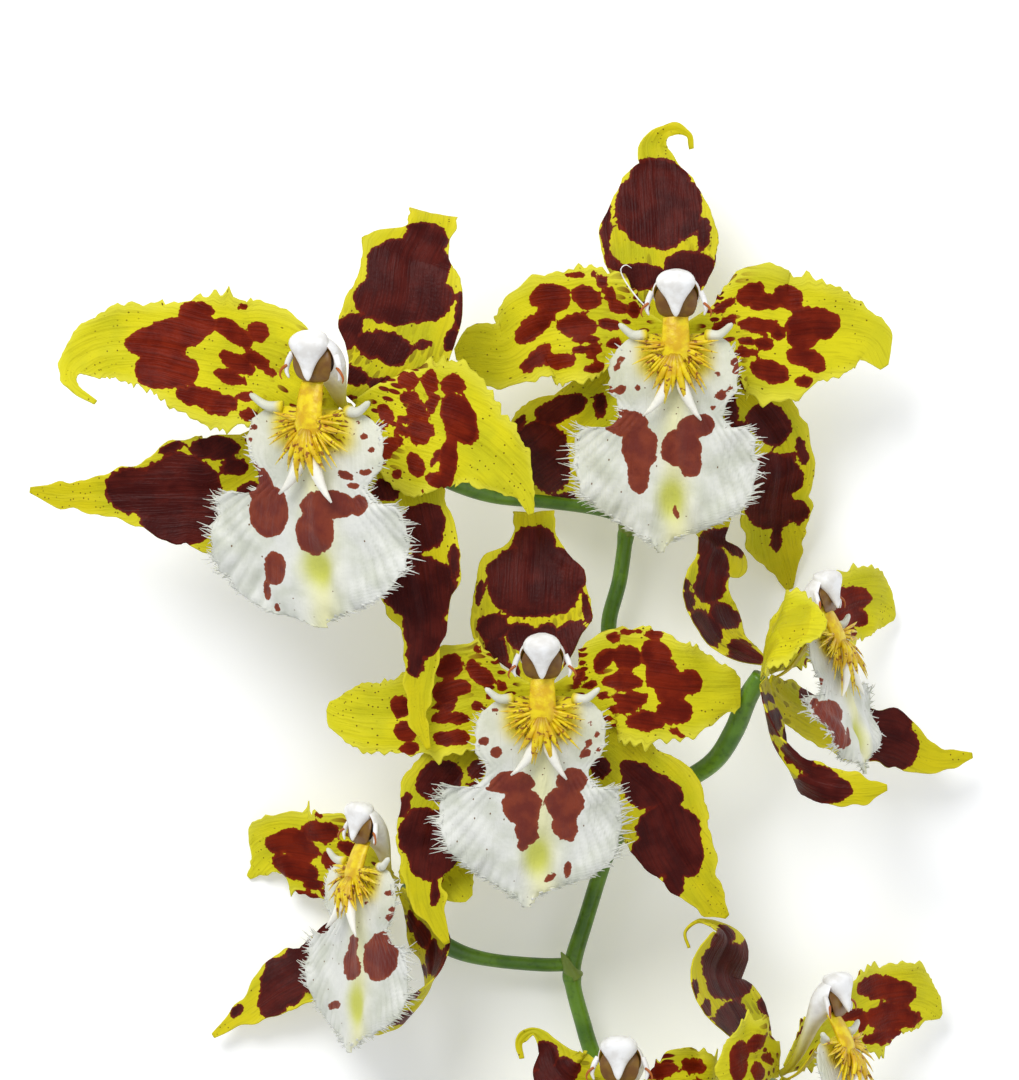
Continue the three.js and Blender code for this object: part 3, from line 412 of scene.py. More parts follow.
# The bloom at the left, turned a little to the left, its dorsal sepal bent over at the top.
blooms["a"] = {
    "at": (-31.9, 26, 50), "facing": (-0.53, -0.12, 0.84), "up": (0.08, 1, 0), "size": 1.06,
    "heart": (1.4, 2.2, 0), "columnLean": (1.2, 1.8), "lean": (0, 0, 1),
    "lip": {
        "across": 1.16, "along": 0.92, "lift": 0, "swing": 0,
        "tail": [
            (-2.4, -32, 11.4, 19, 17, 0), (-2.6, -36.6, 11, 17.6, 15, 0), (-3, -40.4, 10.6, 14.2, 10.6, 0),
            (-3, -43, 10, 9.4, 5.4, 0), (-2.6, -44.6, 9.6, 4.4, 2.2, 0), (-1.6, -46, 9.2, 1, 1, 0),
        ],
    },
    "dorsal_sepal": {"rib": [
        (0.5, 1.7, -0.6, 1.4, 1.4), (5.4, 7, -0.4, 7, 8), (8.8, 13, 0.2, 11.6, 11.4),
        (11.4, 21, 0.6, 11.4, 11.4), (12.2, 28, -0.4, 9.8, 9.6), (13, 30.8, -1.2, 9.8, 8.2),
        (14.8, 34.2, -2.8, 4.4, 5.8), (16, 37, -4.8, 4.2, 5.2), (16.4, 38.9, -7, 4.4, 5),
        (16.4, 37, -9.4, 3.6, 3.8), (16.2, 33.4, -11, 0.8, 0.8),
    ], "blotches": [
        (15, 33.5, 4.6, 3.6), (12, 28.5, 8.6, 5.4), (11, 22, 10.2, 5.6), (0, 15.25, 4.2, 2.4, 65),
        (7, 12.5, 6, 2.8, -10), (9, 10, 2.4, 1.8), (15, 12.5, 1.8, 1.1), (22.15, 19.5, 3.5, 0.9, 90),
        (20.6, 13.75, 2.2, 1.3, 70), (1, 6.5, 3.2, 2, -15), (6.5, 5, 2.6, 1.6), (0.4, 2, 1.4, 0.8),
    ]},
    "left_petal": {"rib": [
        (-1.5, 0.9, 0.75, 1.1, 1.1), (-8, 4, 1.2, 5.4, 6.6), (-15, 8, 1.6, 10.6, 11.6),
        (-22, 9, 2.2, 12.9, 12.9), (-29, 10, 2.4, 12.4, 13), (-37, 12, 1, 8.8, 9.4),
        (-44, 12.6, -0.5, 7.4, 7.8), (-50, 11.6, -1.5, 6, 6.4), (-55, 8.2, -1.5, 2.6, 2.6),
        (-54.6, 4.4, -0.5, 1.2, 1.2), (-50, 1.2, 1, 0.5, 0.5),
    ], "blotches": [
        (-35, 14.6, 9.2, 3.4, 15), (-30, 19.5, 3.6, 1.6), (-36, 7.5, 6.6, 3.8), (-28, 2, 6.2, 1.9, -10),
        (-25.75, -0.25, 2.1, 1.1), (-22.75, 15, 4.2, 2, -35), (-18, 15.25, 2.2, 1.6, -40),
        (-21.75, 9, 4, 1.6, -30), (-18, 9.5, 3, 1.4, -25), (-23.5, 6.1, 3.8, 1.4, -18),
        (-20.25, 2.5, 1.9, 0.9, -15), (-20.9, 20.35, 0.9, 0.6), (-19.65, -1.6, 1.6, 1.2),
        (-15.5, 7.4, 1.5, 0.8, -20), (-37, 11, 4, 3),
    ]},
    "right_petal": {"rib": [
        (1.5, 0.9, 0.75, 1.3, 1.3), (7, -0.6, 2.2, 7.6, 8), (13.5, -3, 3.4, 13.4, 14),
        (20, -5, 4, 13.4, 13), (26, -8, 3.6, 8.6, 8.6), (30.5, -12, 2.4, 6.6, 5.4),
        (34.6, -16.6, 0.5, 2.6, 2.2), (36.2, -20.8, -1, 0.6, 0.6),
    ], "blotches": [
        (16.25, 5.25, 2.3, 1.5, 80), (21, 5, 2.4, 2), (22, -2, 5.4, 3.3, -65), (19.75, -10.5, 5, 1.8, 80),
        (17.25, -10, 2, 0.8, 60), (13.5, -11.25, 2.6, 1.8, -60), (17.75, -14.25, 2.6, 1.4, -15),
        (11.85, 5.25, 1.9, 1.5), (12.15, 2.25, 1.7, 1.2), (13.75, -0.5, 2.2, 1.8), (14.5, -4.5, 2.6, 2.6),
        (11, -2.25, 1.3, 0.8), (10.75, -4.75, 1.5, 0.8, -20), (16.75, 0.9, 1.9, 1.2, 80),
        (7.5, -1, 2, 1.3, -60), (6, -3.9, 1.8, 0.9, 15), (9.25, -6.75, 2.2, 0.9, 10),
        (7.75, -8.9, 1.8, 1.2, 50), (9.5, -12.85, 1.3, 0.9), (14.75, -16.25, 1, 0.4, -70),
    ]},
    "left_lateral_sepal": {"rib": [
        (-1.8, -0.7, -0.9, 1, 1), (-9, -6, -3.6, 5.6, 5.6), (-17, -11, -8.2, 9.5, 8),
        (-26, -16, -11.8, 12, 11.4), (-34, -16.4, -12, 10.4, 10.6), (-42, -16.6, -12.4, 7, 6.2),
        (-50, -17, -13.4, 3.8, 3.8), (-57, -17, -14.2, 2.9, 2.6), (-64, -16, -14.6, 0.6, 0.6),
    ], "blotches": [
        (-43, -16, 6, 4.6), (-34, -18, 9, 9.4), (-26.6, -7.6, 5.2, 2.5), (-22.9, -11.4, 2.9, 1.8),
        (-35.7, -7.6, 2.9, 1, 20), (-19.7, -5.9, 1.2, 0.6), (-12, -7, 2.2, 1.4, 30),
        (-20, -17, 3, 2.4, 30),
    ]},
    "right_lateral_sepal": {"rib": [
        (1.5, -0.9, -0.6, 1.3, 1.3), (6, -8, -1, 6, 6), (10.4, -17, -1.2, 8, 8.4),
        (12.6, -26, -1.4, 9, 9.4), (14, -35, -1.8, 8, 8.6), (15, -42, -2.6, 4.4, 5.6),
        (14.8, -49, -3.6, 3.4, 3.8), (13.8, -56, -4.4, 2.6, 2.8), (14, -62, -4.8, 1.8, 1.8),
        (15.8, -67.6, -5.2, 0.5, 0.5),
    ], "blotches": [
        (14.9, -23.3, 4.5, 4.8), (21, -29.9, 0.9, 3.3), (14, -35.7, 7.4, 6.4), (15.1, -43.1, 4.4, 5.8),
        (13.1, -49.4, 1.7, 4.2), (10.5, -28, 1.2, 1.6), (8.7, -30.1, 1.1, 1), (7.3, -16.3, 2.5, 2.4),
        (5, -10, 2, 1.6),
    ]},
    "lipBlotches": [
        (-15.5, -20.4, 4.1, 5.2), (-17.6, -15, 2.8, 3.4, 20), (-3.7, -19.1, 5.5, 2.9),
        (2.3, -19.1, 2, 1.9), (-6.3, -24.3, 3.9, 4.6), (-14.4, -31.4, 2.2, 3.4), (-16, -36.3, 0.8, 1.9),
        (-14.1, -39.3, 0.5, 1), (0, -13.3, 1.8, 0.8, -15), (1.3, -15.3, 1.3, 0.6), (3.7, -12.6, 1.2, 0.6),
        (2.35, -2.9, 0.6, 0.5), (3.5, -5.75, 0.7, 0.5), (5, -8.35, 0.6, 0.4), (-18.75, -3.75, 0.9, 0.5),
        (-19.4, -6.1, 0.7, 0.4), (-18.5, -11.1, 0.7, 0.5),
    ],
}

# The bloom at the top right, the one seen most from the front.
blooms["b"] = {
    "at": (33.3, 41, 28), "facing": (-0.08, -0.16, 0.98), "up": (0, 1, 0), "size": 1, "heart": (1, 2.8, 0),
    "thread": True, "columnLean": (0.2, 0.2),
    "lip": {"across": 0.99, "along": 1.02, "lift": 0, "swing": 0}, "lean": (0, 0, 1),
    "dorsal_sepal": {"rib": [
        (0, 1.7, -0.6, 1.2, 1.2), (-1.6, 9, -0.8, 8, 8), (-2.7, 16.5, -1.4, 12, 11.3),
        (-3, 24, -2.4, 11.4, 10.4), (-3.4, 30.5, -4, 8, 7.5), (-3.4, 35, -5.4, 4, 4),
        (-4, 39, -5.8, 2.8, 2.6), (-1.2, 41.8, -5, 1.2, 1.2), (2.6, 40.8, -4.4, 0.8, 0.8),
        (3.4, 37.8, -4.4, 0.5, 0.5),
    ], "blotches": [
        (-3.2, 26, 8.8, 8.6), (-3.6, 31, 6, 5), (-13.8, 21.5, 1, 5.5), (5.9, 20.9, 1.4, 3.3),
        (-7.2, 12, 5.3, 2.8), (2.8, 13, 5.2, 4.2), (-12.2, 14.25, 1.8, 1.5), (8.6, 15.6, 0.5, 0.9),
        (-6.1, 5.9, 0.9, 1.2), (3, 6, 1.6, 1.2),
    ]},
    "left_petal": {"rib": [
        (-1.5, 0.9, 0.75, 1.3, 1.3), (-8, 0.8, 1.6, 5.2, 6), (-14, 2, 2, 9.8, 10.8),
        (-21, 1.8, 1.6, 11.4, 11.8), (-28, 0.6, 0.4, 10.2, 10), (-34, -3.2, -1, 7.2, 6.6),
        (-40, -2.8, -2.4, 5.4, 5.2), (-44.2, -3.6, -3.4, 1.2, 1.2),
    ], "blotches": [
        (-25.2, 7.5, 4.2, 2.8), (-28.2, 2, 5.2, 2.2, 42), (-27.7, -4.5, 3.7, 1.7, 40),
        (-17.95, 7.5, 3.1, 2.2, -25), (-19.7, 1.75, 4, 2.5), (-13.2, 2.25, 2.4, 1.2, -15),
        (-17.95, -0.75, 3, 0.7), (-17.95, -2.85, 2.7, 0.8), (-22.95, -5, 3.2, 1.6),
        (-16.45, -6.5, 2.4, 1.1, 15), (-17, -4.35, 1.2, 0.5), (-20.45, 12.2, 2.4, 0.65),
        (-16.3, 12.4, 0.6, 0.8), (-14.7, 10.9, 1.1, 1.1), (-12.95, 8.15, 1, 1.3), (-11.45, 5.75, 1.6, 1.2),
        (-8.35, 5.25, 1, 1.7), (-11.95, -1.6, 1.6, 1.2), (-29, -7, 0.8, 0.4),
    ]},
    "right_petal": {"rib": [
        (1.5, 0.9, 0.75, 1.3, 1.3), (8, 0.6, 1.6, 6.4, 6.6), (15, 1.2, 2, 13, 12.8),
        (22, 0, 1.6, 13.2, 13.2), (29, 0.4, 0.6, 10.6, 10), (35, 0, -1, 7.8, 7.6),
        (39.5, -1.5, -2.4, 5, 5), (42.2, -6.2, -3.4, 1, 1),
    ], "blotches": [
        (15.2, 8.5, 3, 2, 35), (18.3, 6.75, 3.6, 1.7, 5), (22.55, 7.75, 3, 2.6), (27.8, 2.5, 5.3, 3.4),
        (25.5, -0.3, 3.2, 2.4), (26.05, -4.5, 4.2, 2, -15), (28.8, -6.2, 1.4, 1.2),
        (10.05, 2.5, 2.9, 1, 35), (16.3, 2.25, 4.3, 1.5, -5), (17.5, -1.6, 2.5, 1.3), (14.3, -1, 1.8, 0.7),
        (14.15, -3.5, 2.3, 0.9, -8), (18.8, -7.2, 4.2, 2.1, -20), (25.9, -9.1, 1.7, 1),
        (9.8, 6.2, 2.6, 1.1, 35), (9.7, -1.6, 1.2, 0.7, 30), (20.6, 0.4, 1.6, 1.4),
    ]},
    "left_lateral_sepal": {"rib": [
        (-1.5, -0.9, -0.6, 1.3, 1.3), (-8, -7.5, -1.6, 6, 6), (-16, -15.5, -4.6, 8.5, 8),
        (-24, -22.5, -10, 10.2, 10.6), (-30, -27, -16.6, 8.4, 9), (-33.5, -28.6, -22.4, 5, 5),
        (-35.5, -29.4, -27.6, 0.6, 0.6),
    ], "blotches": [
        (-22.95, -14.5, 5.5, 2.5, 20), (-14.85, -13.5, 1.4, 2.6), (-26.2, -24, 5, 7.6, 20),
        (-29, -22, 4, 4), (-22.9, -20.7, 0.8, 1.7), (-22.2, -32.5, 2.2, 1.2), (-31.3, -16.9, 1.8, 0.8, 40),
        (-9, -8, 2, 1.2, 40),
    ]},
    "right_lateral_sepal": {"rib": [
        (1.5, -0.9, -0.6, 1.3, 1.3), (8, -7.5, -1.8, 6, 6), (17.5, -17, -5, 7.5, 7.5),
        (21.5, -25, -9.6, 7, 7.5), (20.8, -33, -14.6, 7.4, 7.4), (21, -39.4, -19.4, 6.6, 7.2),
        (22.4, -45, -23.6, 4, 3.8), (24, -51, -27.6, 0.8, 0.8),
    ], "blotches": [
        (19.05, -17.5, 4.8, 3.8, -40), (25.8, -23, 1.2, 3, 20), (20.6, -28, 5.6, 4.8), (19.6, -34, 5.2, 5),
        (21.05, -40.5, 1.4, 3), (25.05, -35, 2.6, 2.4), (11.05, -14.5, 1.6, 3.6),
        (14.55, -10.5, 2, 0.8, -50), (13.3, -18.5, 1.8, 0.9),
    ]},
    "lipBlotches": [
        (-9.95, -17.5, 4.6, 2.6), (-7.2, -22.5, 3.6, 4.8), (-7.45, -27.5, 2.2, 4.2),
        (3.8, -18.25, 3.8, 2.3, 10), (1.05, -22.5, 4.1, 3.8), (2.8, -26, 2.4, 2.3),
        (0.2, -35.4, 1.6, 0.7, -70), (-11.05, -10.9, 1.2, 0.9), (-13.3, -10.85, 0.9, 0.6),
        (-7.7, -10.6, 0.6, 0.6), (-11.85, -6.55, 1, 0.6, 30), (-11.1, -4.85, 0.8, 0.5),
        (-13.95, -8.65, 0.6, 0.5), (8.2, -7.9, 0.6, 0.6), (8.9, -12.15, 1.1, 0.9), (10.8, -10.6, 0.9, 0.6),
        (7.15, -14.5, 0.7, 0.5), (11.8, -5.5, 1.2, 0.8), (12.05, -7.2, 1, 0.7),
    ],
}

# The bloom in the middle.
blooms["c"] = {
    "at": (6.7, -31.4, 38), "facing": (-0.04, -0.2, 0.98), "up": (0, 1, 0), "size": 0.95,
    "heart": (0.4, 3.4, 0), "columnLean": (0, 1),
    "lip": {"across": 1.04, "along": 1.05, "lift": 0, "swing": 0}, "lean": (0, 0, 1),
    "dorsal_sepal": {"rib": [
        (0, 1.7, -0.6, 1.2, 1.2), (-1, 8, -1, 7.4, 7.4), (-2.2, 14, -1.6, 12, 12),
        (-2.3, 20, -2, 11.3, 11.3), (-2, 26, -3, 11, 10.4), (-1.6, 30, -4.2, 5.6, 5.4),
        (-1.6, 34, -5.6, 4.4, 4.2), (-1.8, 36.6, -7, 4.2, 4.2), (-1.8, 36.2, -9.8, 3.6, 3.6),
        (-1.8, 33, -11.4, 0.8, 0.8),
    ], "blotches": [
        (-1.5, 30.8, 4.2, 3.4), (-1.6, 23.8, 10, 6.8), (-1.6, 20.4, 9, 4.4), (-12.7, 21, 0.9, 2.9, -10),
        (8.6, 18.1, 0.7, 3.6, 10), (-10, 13.9, 3.4, 3), (-9.3, 8.7, 2.6, 3.8), (-4.2, 11.9, 3.2, 3.2),
        (0.6, 12.6, 2.6, 2), (5.8, 12.3, 3.3, 3), (6.7, 8.3, 2.4, 3.2), (-6, 5, 1.4, 1.8),
        (5, 4, 1.4, 1.2),
    ]},
    "left_petal": {"rib": [
        (-1.5, 0.9, 0.75, 1.3, 1.3), (-8, 0.4, 1.4, 6, 6), (-14.5, 0.4, 1.8, 10.4, 11),
        (-21, -1.8, 1.6, 10.4, 10.2), (-28.6, -3.8, 0.6, 7.8, 7.6), (-35.5, -3.7, -1, 6.6, 6.9),
        (-40.5, -2.8, -2.2, 4.8, 3.8), (-43, -1.8, -2.8, 1, 1),
    ], "blotches": [
        (-18.8, 6.3, 3.2, 2.3, 35), (-12.8, 5, 3.4, 1.7, -42), (-18.4, 1.6, 4, 1.8, 5),
        (-19.3, -0.2, 2.6, 1.2), (-19.7, -1.9, 2.3, 0.9), (-18.2, -4.2, 3.7, 1.2), (-18.2, -8.1, 3.6, 1.7),
        (-28.4, -1.9, 2.2, 2.3), (-27.5, -6.8, 2, 2), (-26.6, -10.2, 2, 1.2), (-12.9, -1.7, 1.3, 0.8),
        (-13, 9.6, 0.8, 0.6), (-8.2, 2.3, 1, 0.9), (-11, 0.2, 0.7, 0.8), (-25.4, 1.6, 1.6, 2.4),
    ]},
    "right_petal": {"rib": [
        (1.5, 0.9, 0.75, 1.3, 1.3), (8, 1, 1.4, 6, 6), (14, 2.8, 2, 11, 11), (21, 2.2, 1.8, 11.6, 11.8),
        (28, 1.2, 0.8, 9.4, 9.6), (34, 1, -0.8, 7, 6.2), (38, 1, -2, 4.2, 4), (39.4, 1, -2.6, 2.8, 3),
    ], "blotches": [
        (13.8, 12.2, 1.4, 1), (17.6, 13.2, 2.4, 0.6), (22.3, 12.7, 2, 1), (12.1, 7.2, 2.8, 1.6, 50),
        (16.7, 8.1, 3, 2.2, 10), (22.5, 8.7, 3.2, 2.6), (23.8, 4.7, 3.2, 3.6), (29, 3, 2.7, 2.6),
        (25.6, 0.7, 3, 2), (26.1, -2.8, 3.6, 2.7), (15.8, 3.2, 3.9, 1.8), (12.3, 0.3, 1.4, 0.9),
        (17.2, -0.3, 3.6, 1.4), (15.2, -2.4, 2.8, 0.8), (12.7, -4.2, 2.1, 0.8), (20.3, -4.8, 3.9, 2),
        (13, -7, 1.6, 0.9, -15), (26.7, -7, 1.6, 0.5, -35), (8.5, -2.5, 1.2, 0.7, 40),
        (7.2, 3.8, 1.9, 0.8, 60), (9.1, 2.5, 1.5, 0.8, 20),
    ]},
    "left_lateral_sepal": {"rib": [
        (-1.5, -0.9, -0.6, 1.3, 1.3), (-8.5, -8, -1, 6.4, 6.4), (-15.6, -14.6, -1.4, 8.2, 8.2),
        (-20.6, -22, -1.8, 8.6, 8.6), (-22.8, -30, -2.4, 7, 6.2), (-23.6, -36, -3, 3.8, 4.6),
        (-22.4, -42, -3.4, 3, 3), (-19.2, -49.4, -3.6, 0.6, 0.6),
    ], "blotches": [
        (-20.8, -16.6, 4.9, 4, 30), (-13, -14.2, 1.8, 1.9), (-27.8, -21.6, 1, 2.6, -20),
        (-16.8, -23, 3.8, 2.9, -40), (-23.7, -27.9, 5.2, 6), (-22.4, -33.3, 4, 3.6),
        (-18.8, -32.4, 2, 2.4), (-21.6, -38.4, 0.9, 3.2), (-16.3, -31.7, 1, 0.9), (-13.9, -17.5, 1.3, 0.6),
        (-8, -7, 2, 1.4, 40),
    ]},
    "right_lateral_sepal": {"rib": [
        (1.5, -0.9, -0.6, 1.3, 1.3), (8.5, -8, -1, 6, 6), (16, -14.6, -1.8, 8, 8), (22.4, -21, -3, 9.4, 9),
        (25.4, -28.4, -4.4, 8.6, 8.2), (29.6, -35.6, -6, 5.8, 5), (33.4, -40.8, -7.4, 3.4, 3.4),
        (37, -44.2, -8.6, 0.6, 0.6),
    ], "blotches": [
        (11.6, -14.2, 2, 1.9), (19.4, -15.5, 4.4, 2.4, -25), (20.7, -18.4, 5, 4), (25.6, -19, 3, 2, -50),
        (27, -19.8, 1.7, 0.8, -55), (25.2, -26.6, 6.4, 5.4), (28.7, -31.5, 3.4, 5),
        (21.6, -32.4, 4.6, 4.6), (26.1, -36.8, 2.4, 3.4), (7, -6, 1.6, 1, -40),
    ]},
    "lipBlotches": [
        (-5.9, -16.8, 4.6, 2.4), (-9.9, -17.9, 1.4, 0.7), (-4.2, -21.3, 3.9, 4), (-3.3, -25.7, 2.5, 3.6),
        (-4.2, -29.3, 1.2, 1.4), (5.6, -16.4, 3.1, 2.7), (4.3, -20.8, 3.9, 3.6), (4.3, -25.3, 2.6, 3.2),
        (5.5, -27.9, 0.9, 0.9), (4.9, -34.2, 0.8, 1.8), (1.6, -35.8, 1.5, 0.6, 35),
        (-11.7, -8.3, 1.2, 0.7), (-9.2, -10.6, 1.3, 1.1), (10.4, -7.1, 0.6, 0.6), (9, -8.6, 0.7, 0.6),
        (8.1, -11, 1.3, 0.9, 30), (11, -10.4, 0.5, 0.5), (9.4, -4.9, 0.5, 0.4), (-9.6, -2.3, 0.5, 0.4),
    ],
}

# The bloom at the right edge, seen from its side.
blooms["d"] = sideBloom | {
    "at": (52.5, -26.4, 36), "size": 0.86, "heart": (1.8, 1.6, 0), "columnLean": (0, 0),
    "lip": {"across": 0.86, "along": 0.78, "lift": 5.6, "swing": -5},
    "dorsal_sepal": {"rib": [
        (-1, 1.6, -0.8, 1.1, 1.1), (-5.2, 3.6, -2.4, 4.6, 4.6), (-10, 6.8, -4.4, 7, 8),
        (-13.4, 14.6, -7.4, 7, 8), (-12, 21, -10, 4.4, 5), (-10.8, 24.4, -11.8, 7.4, 9),
        (-11.4, 28, -14, 5, 4.4), (-8.6, 31.6, -16.4, 1.4, 1.4),
    ], "blotches": [
        (-11.1, 26.5, 4.4, 2.2, 20), (-7.5, 24.7, 2.4, 1.4, -30), (-14.6, 25, 1.6, 1.2),
        (-11.5, 21.2, 3.1, 4), (-12.4, 16.7, 3.3, 3.2, 20), (-17.5, 17.6, 1, 1.3), (-17.1, 14.3, 1.5, 1.9),
        (-13.1, 8.7, 4.2, 2.4, -50), (-9.3, 11, 3.6, 2.3, -40), (-5.7, 3.4, 3.9, 2.4, -35),
        (-11.5, 3.4, 1.2, 0.5),
    ]},
    "left_petal": {"rib": [
        (-0.8, 0.8, 1.4, 1.3, 1.3), (-1.4, 3, 7, 4, 5), (-1, 6, 13.5, 7, 8), (1.4, 8.6, 19, 8, 9),
        (5, 9.6, 22.5, 6, 6.5), (8.2, 9.8, 24.4, 3, 3), (9.8, 9.8, 25, 1, 1),
    ], "blotches": nearPetalBlotches, "drawnOn": "blade"},
    "right_petal": {"rib": [
        (0.8, 1, -1.2, 1.1, 1.1), (4.2, 4.6, -7, 5.4, 4.4), (9.4, 8.6, -13.4, 8.4, 7.4),
        (15.6, 12, -19.5, 8.4, 7.6), (20.6, 13.2, -25, 8, 6.4), (23.8, 12.2, -29, 4.4, 4.2),
        (26, 10.6, -32, 0.8, 0.8),
    ], "blotches": [
        (16.9, 14.5, 3.9, 2.4), (15.2, 11.4, 3.8, 2.6), (18.3, 10.5, 2.2, 1.8), (16.5, 7.8, 1.4, 1),
        (5.8, 17.8, 0.8, 0.6), (9.5, 8, 2.2, 1.2, 30), (10, 12.5, 1.6, 1, 30),
    ]},
    "lipBlotches": [
        (4.9, 1.4, 1.1, 0.5, 10), (4.6, -0.2, 1, 0.4), (5.3, -2.2, 0.9, 1.1), (8.3, -1.8, 1.3, 0.8, 15),
        (7.4, -5.9, 0.9, 1.1, -30), (10.3, -8.2, 2.9, 3), (12.3, -12, 1.5, 3.4, 25), (14.4, -12.6, 0.5, 2),
    ],
}

# The bloom at the lower left, turned half to the left.
blooms["e"] = {
    "at": (-22.9, -69, 21.6), "facing": (-0.74, 0.16, 0.62), "up": (0.1, 1, 0), "size": 0.86,
    "heart": (2.4, 2.6, 0), "columnLean": (0, 1),
    "lip": {"across": 1.02, "along": 0.94, "lift": 0, "swing": 7}, "lean": (-0.87, 0, 0.45),
    "dorsal_sepal": {"rib": [
        (1, 1.6, -0.8, 1.1, 1.1), (5.2, 4.6, -2.4, 5, 5), (9.4, 9.4, -4.4, 7.4, 7.4),
        (11.8, 16, -6.4, 7.4, 7.4), (11.8, 22, -8, 6, 6), (10.4, 27, -9.4, 3, 3), (9, 31, -10.6, 0.8, 0.8),
    ], "blotches": [(11.5, 17.5, 4.6, 5.4), (8, 8.5, 3, 2.2, 40), (11, 25, 1.8, 2.4), (4.5, 5, 1.6, 1.2)]},
    "right_petal": {"rib": [
        (0.9, 0.8, 1.4, 1.3, 1.3), (3.6, 3, 4.4, 5, 3.6), (7, 3, 6, 6.4, 5), (10.4, 1.6, 6.6, 5.6, 5),
        (13, -1.2, 7.6, 3.6, 3.6), (14.8, -3, 7.4, 1, 1),
    ], "blotches": [(5, 0, 1.6, 1), (9, -1.5, 2, 1.6), (9.5, 2, 1.8, 1.2)], "drawnOn": "blade"},
    "left_petal": {"rib": [
        (-0.8, 1, -0.8, 1.1, 1.1), (-4.8, 3.4, -4.4, 4.6, 5), (-11, 5, -8, 8.4, 9),
        (-17, 4.8, -12, 9.6, 9.4), (-22.6, 5.6, -15.4, 7.4, 8.6), (-26.2, 4.4, -18, 4.2, 7.4),
        (-28.6, 2.2, -20, 2.2, 2), (-30.4, 0, -21, 0.6, 0.6),
    ], "blotches": [
        (-22, 7.8, 4.6, 2.4, 15), (-15.6, 9.8, 4.2, 2.2), (-18.8, 5.8, 3, 2.6),
        (-20.4, 2.2, 5.2, 2.3, -20), (-16.8, -1, 2.2, 1.2), (-13.4, 4, 1.5, 2.2),
        (-18, -3.5, 2.3, 0.9, -12), (-15.7, 13.3, 0.9, 0.7), (-9, 6.6, 2.8, 1.3, -15), (-14, -2.6, 1.6, 1),
    ]},
    "right_lateral_sepal": {"rib": [
        (0.9, -1.6, 0.6, 1.1, 1.1), (4.4, -6.8, 2.8, 4.6, 4.6), (7.6, -13, 4, 6.6, 6.6),
        (6.6, -20.4, 4, 6.2, 6.2, 30), (2.4, -26, 3.8, 4.8, 4.8, 60), (-3, -28.8, 3.4, 3.4, 3, 75),
        (-7.4, -30, 3, 0.6, 0.6, 75),
    ], "blotches": [
        (3.2, -7.8, 1, 2.2), (5.6, -10.6, 1.6, 2.8), (8, -15, 1.6, 3.6), (9.9, -15, 0.6, 1.4),
        (10.6, -11.8, 0.6, 1.6), (4.4, -18.2, 2, 2), (2.8, -21.8, 3.4, 1.2, 40), (0.4, -26.8, 3.2, 1.7),
        (-4.4, -27.4, 0.8, 0.8),
    ], "through": True},
    "left_lateral_sepal": {"rib": [
        (0.2, -1.6, -1.6, 1.1, 1.1), (-4.4, -7, -7.6, 4.6, 3.4), (-10.6, -12.8, -12.4, 7, 5.6),
        (-17.4, -18.8, -14.4, 7.2, 7), (-24.4, -23, -15.4, 6, 6.6), (-31, -27.6, -16.4, 2.8, 3),
        (-37.6, -32.2, -17, 0.6, 0.6),
    ], "blotches": [
        (-13.6, -11, 4.6, 3.6, 45), (-18.4, -18, 6, 5.2, 50), (-22.4, -20.8, 6, 4.8, 40),
        (-25, -18.2, 1.6, 1.8), (-25.2, -25, 3.4, 3, 35), (-32.8, -27.3, 1.5, 0.9, 40),
        (-8, -8, 2.4, 1.6, 40),
    ]},
    "lipBlotches": [
        (-8.4, -12.6, 0.9, 2.4), (-8.7, -16.6, 1.8, 3), (-2.8, -14.4, 3.6, 5.1, -12),
        (-1.1, -1.5, 1.2, 0.6), (0.6, -2.6, 0.9, 0.4), (-0.2, -4.7, 1.2, 0.5), (1.6, -3.8, 0.8, 0.4, -20),
        (-1, -6.5, 1.3, 0.8), (0.8, -6.6, 1, 0.6), (0.5, -7.9, 0.8, 0.4), (-5.7, -3.7, 0.5, 0.4),
        (0.4, 2.4, 0.5, 0.4), (-12.4, -25, 1.4, 0.7, 30),
    ],
}

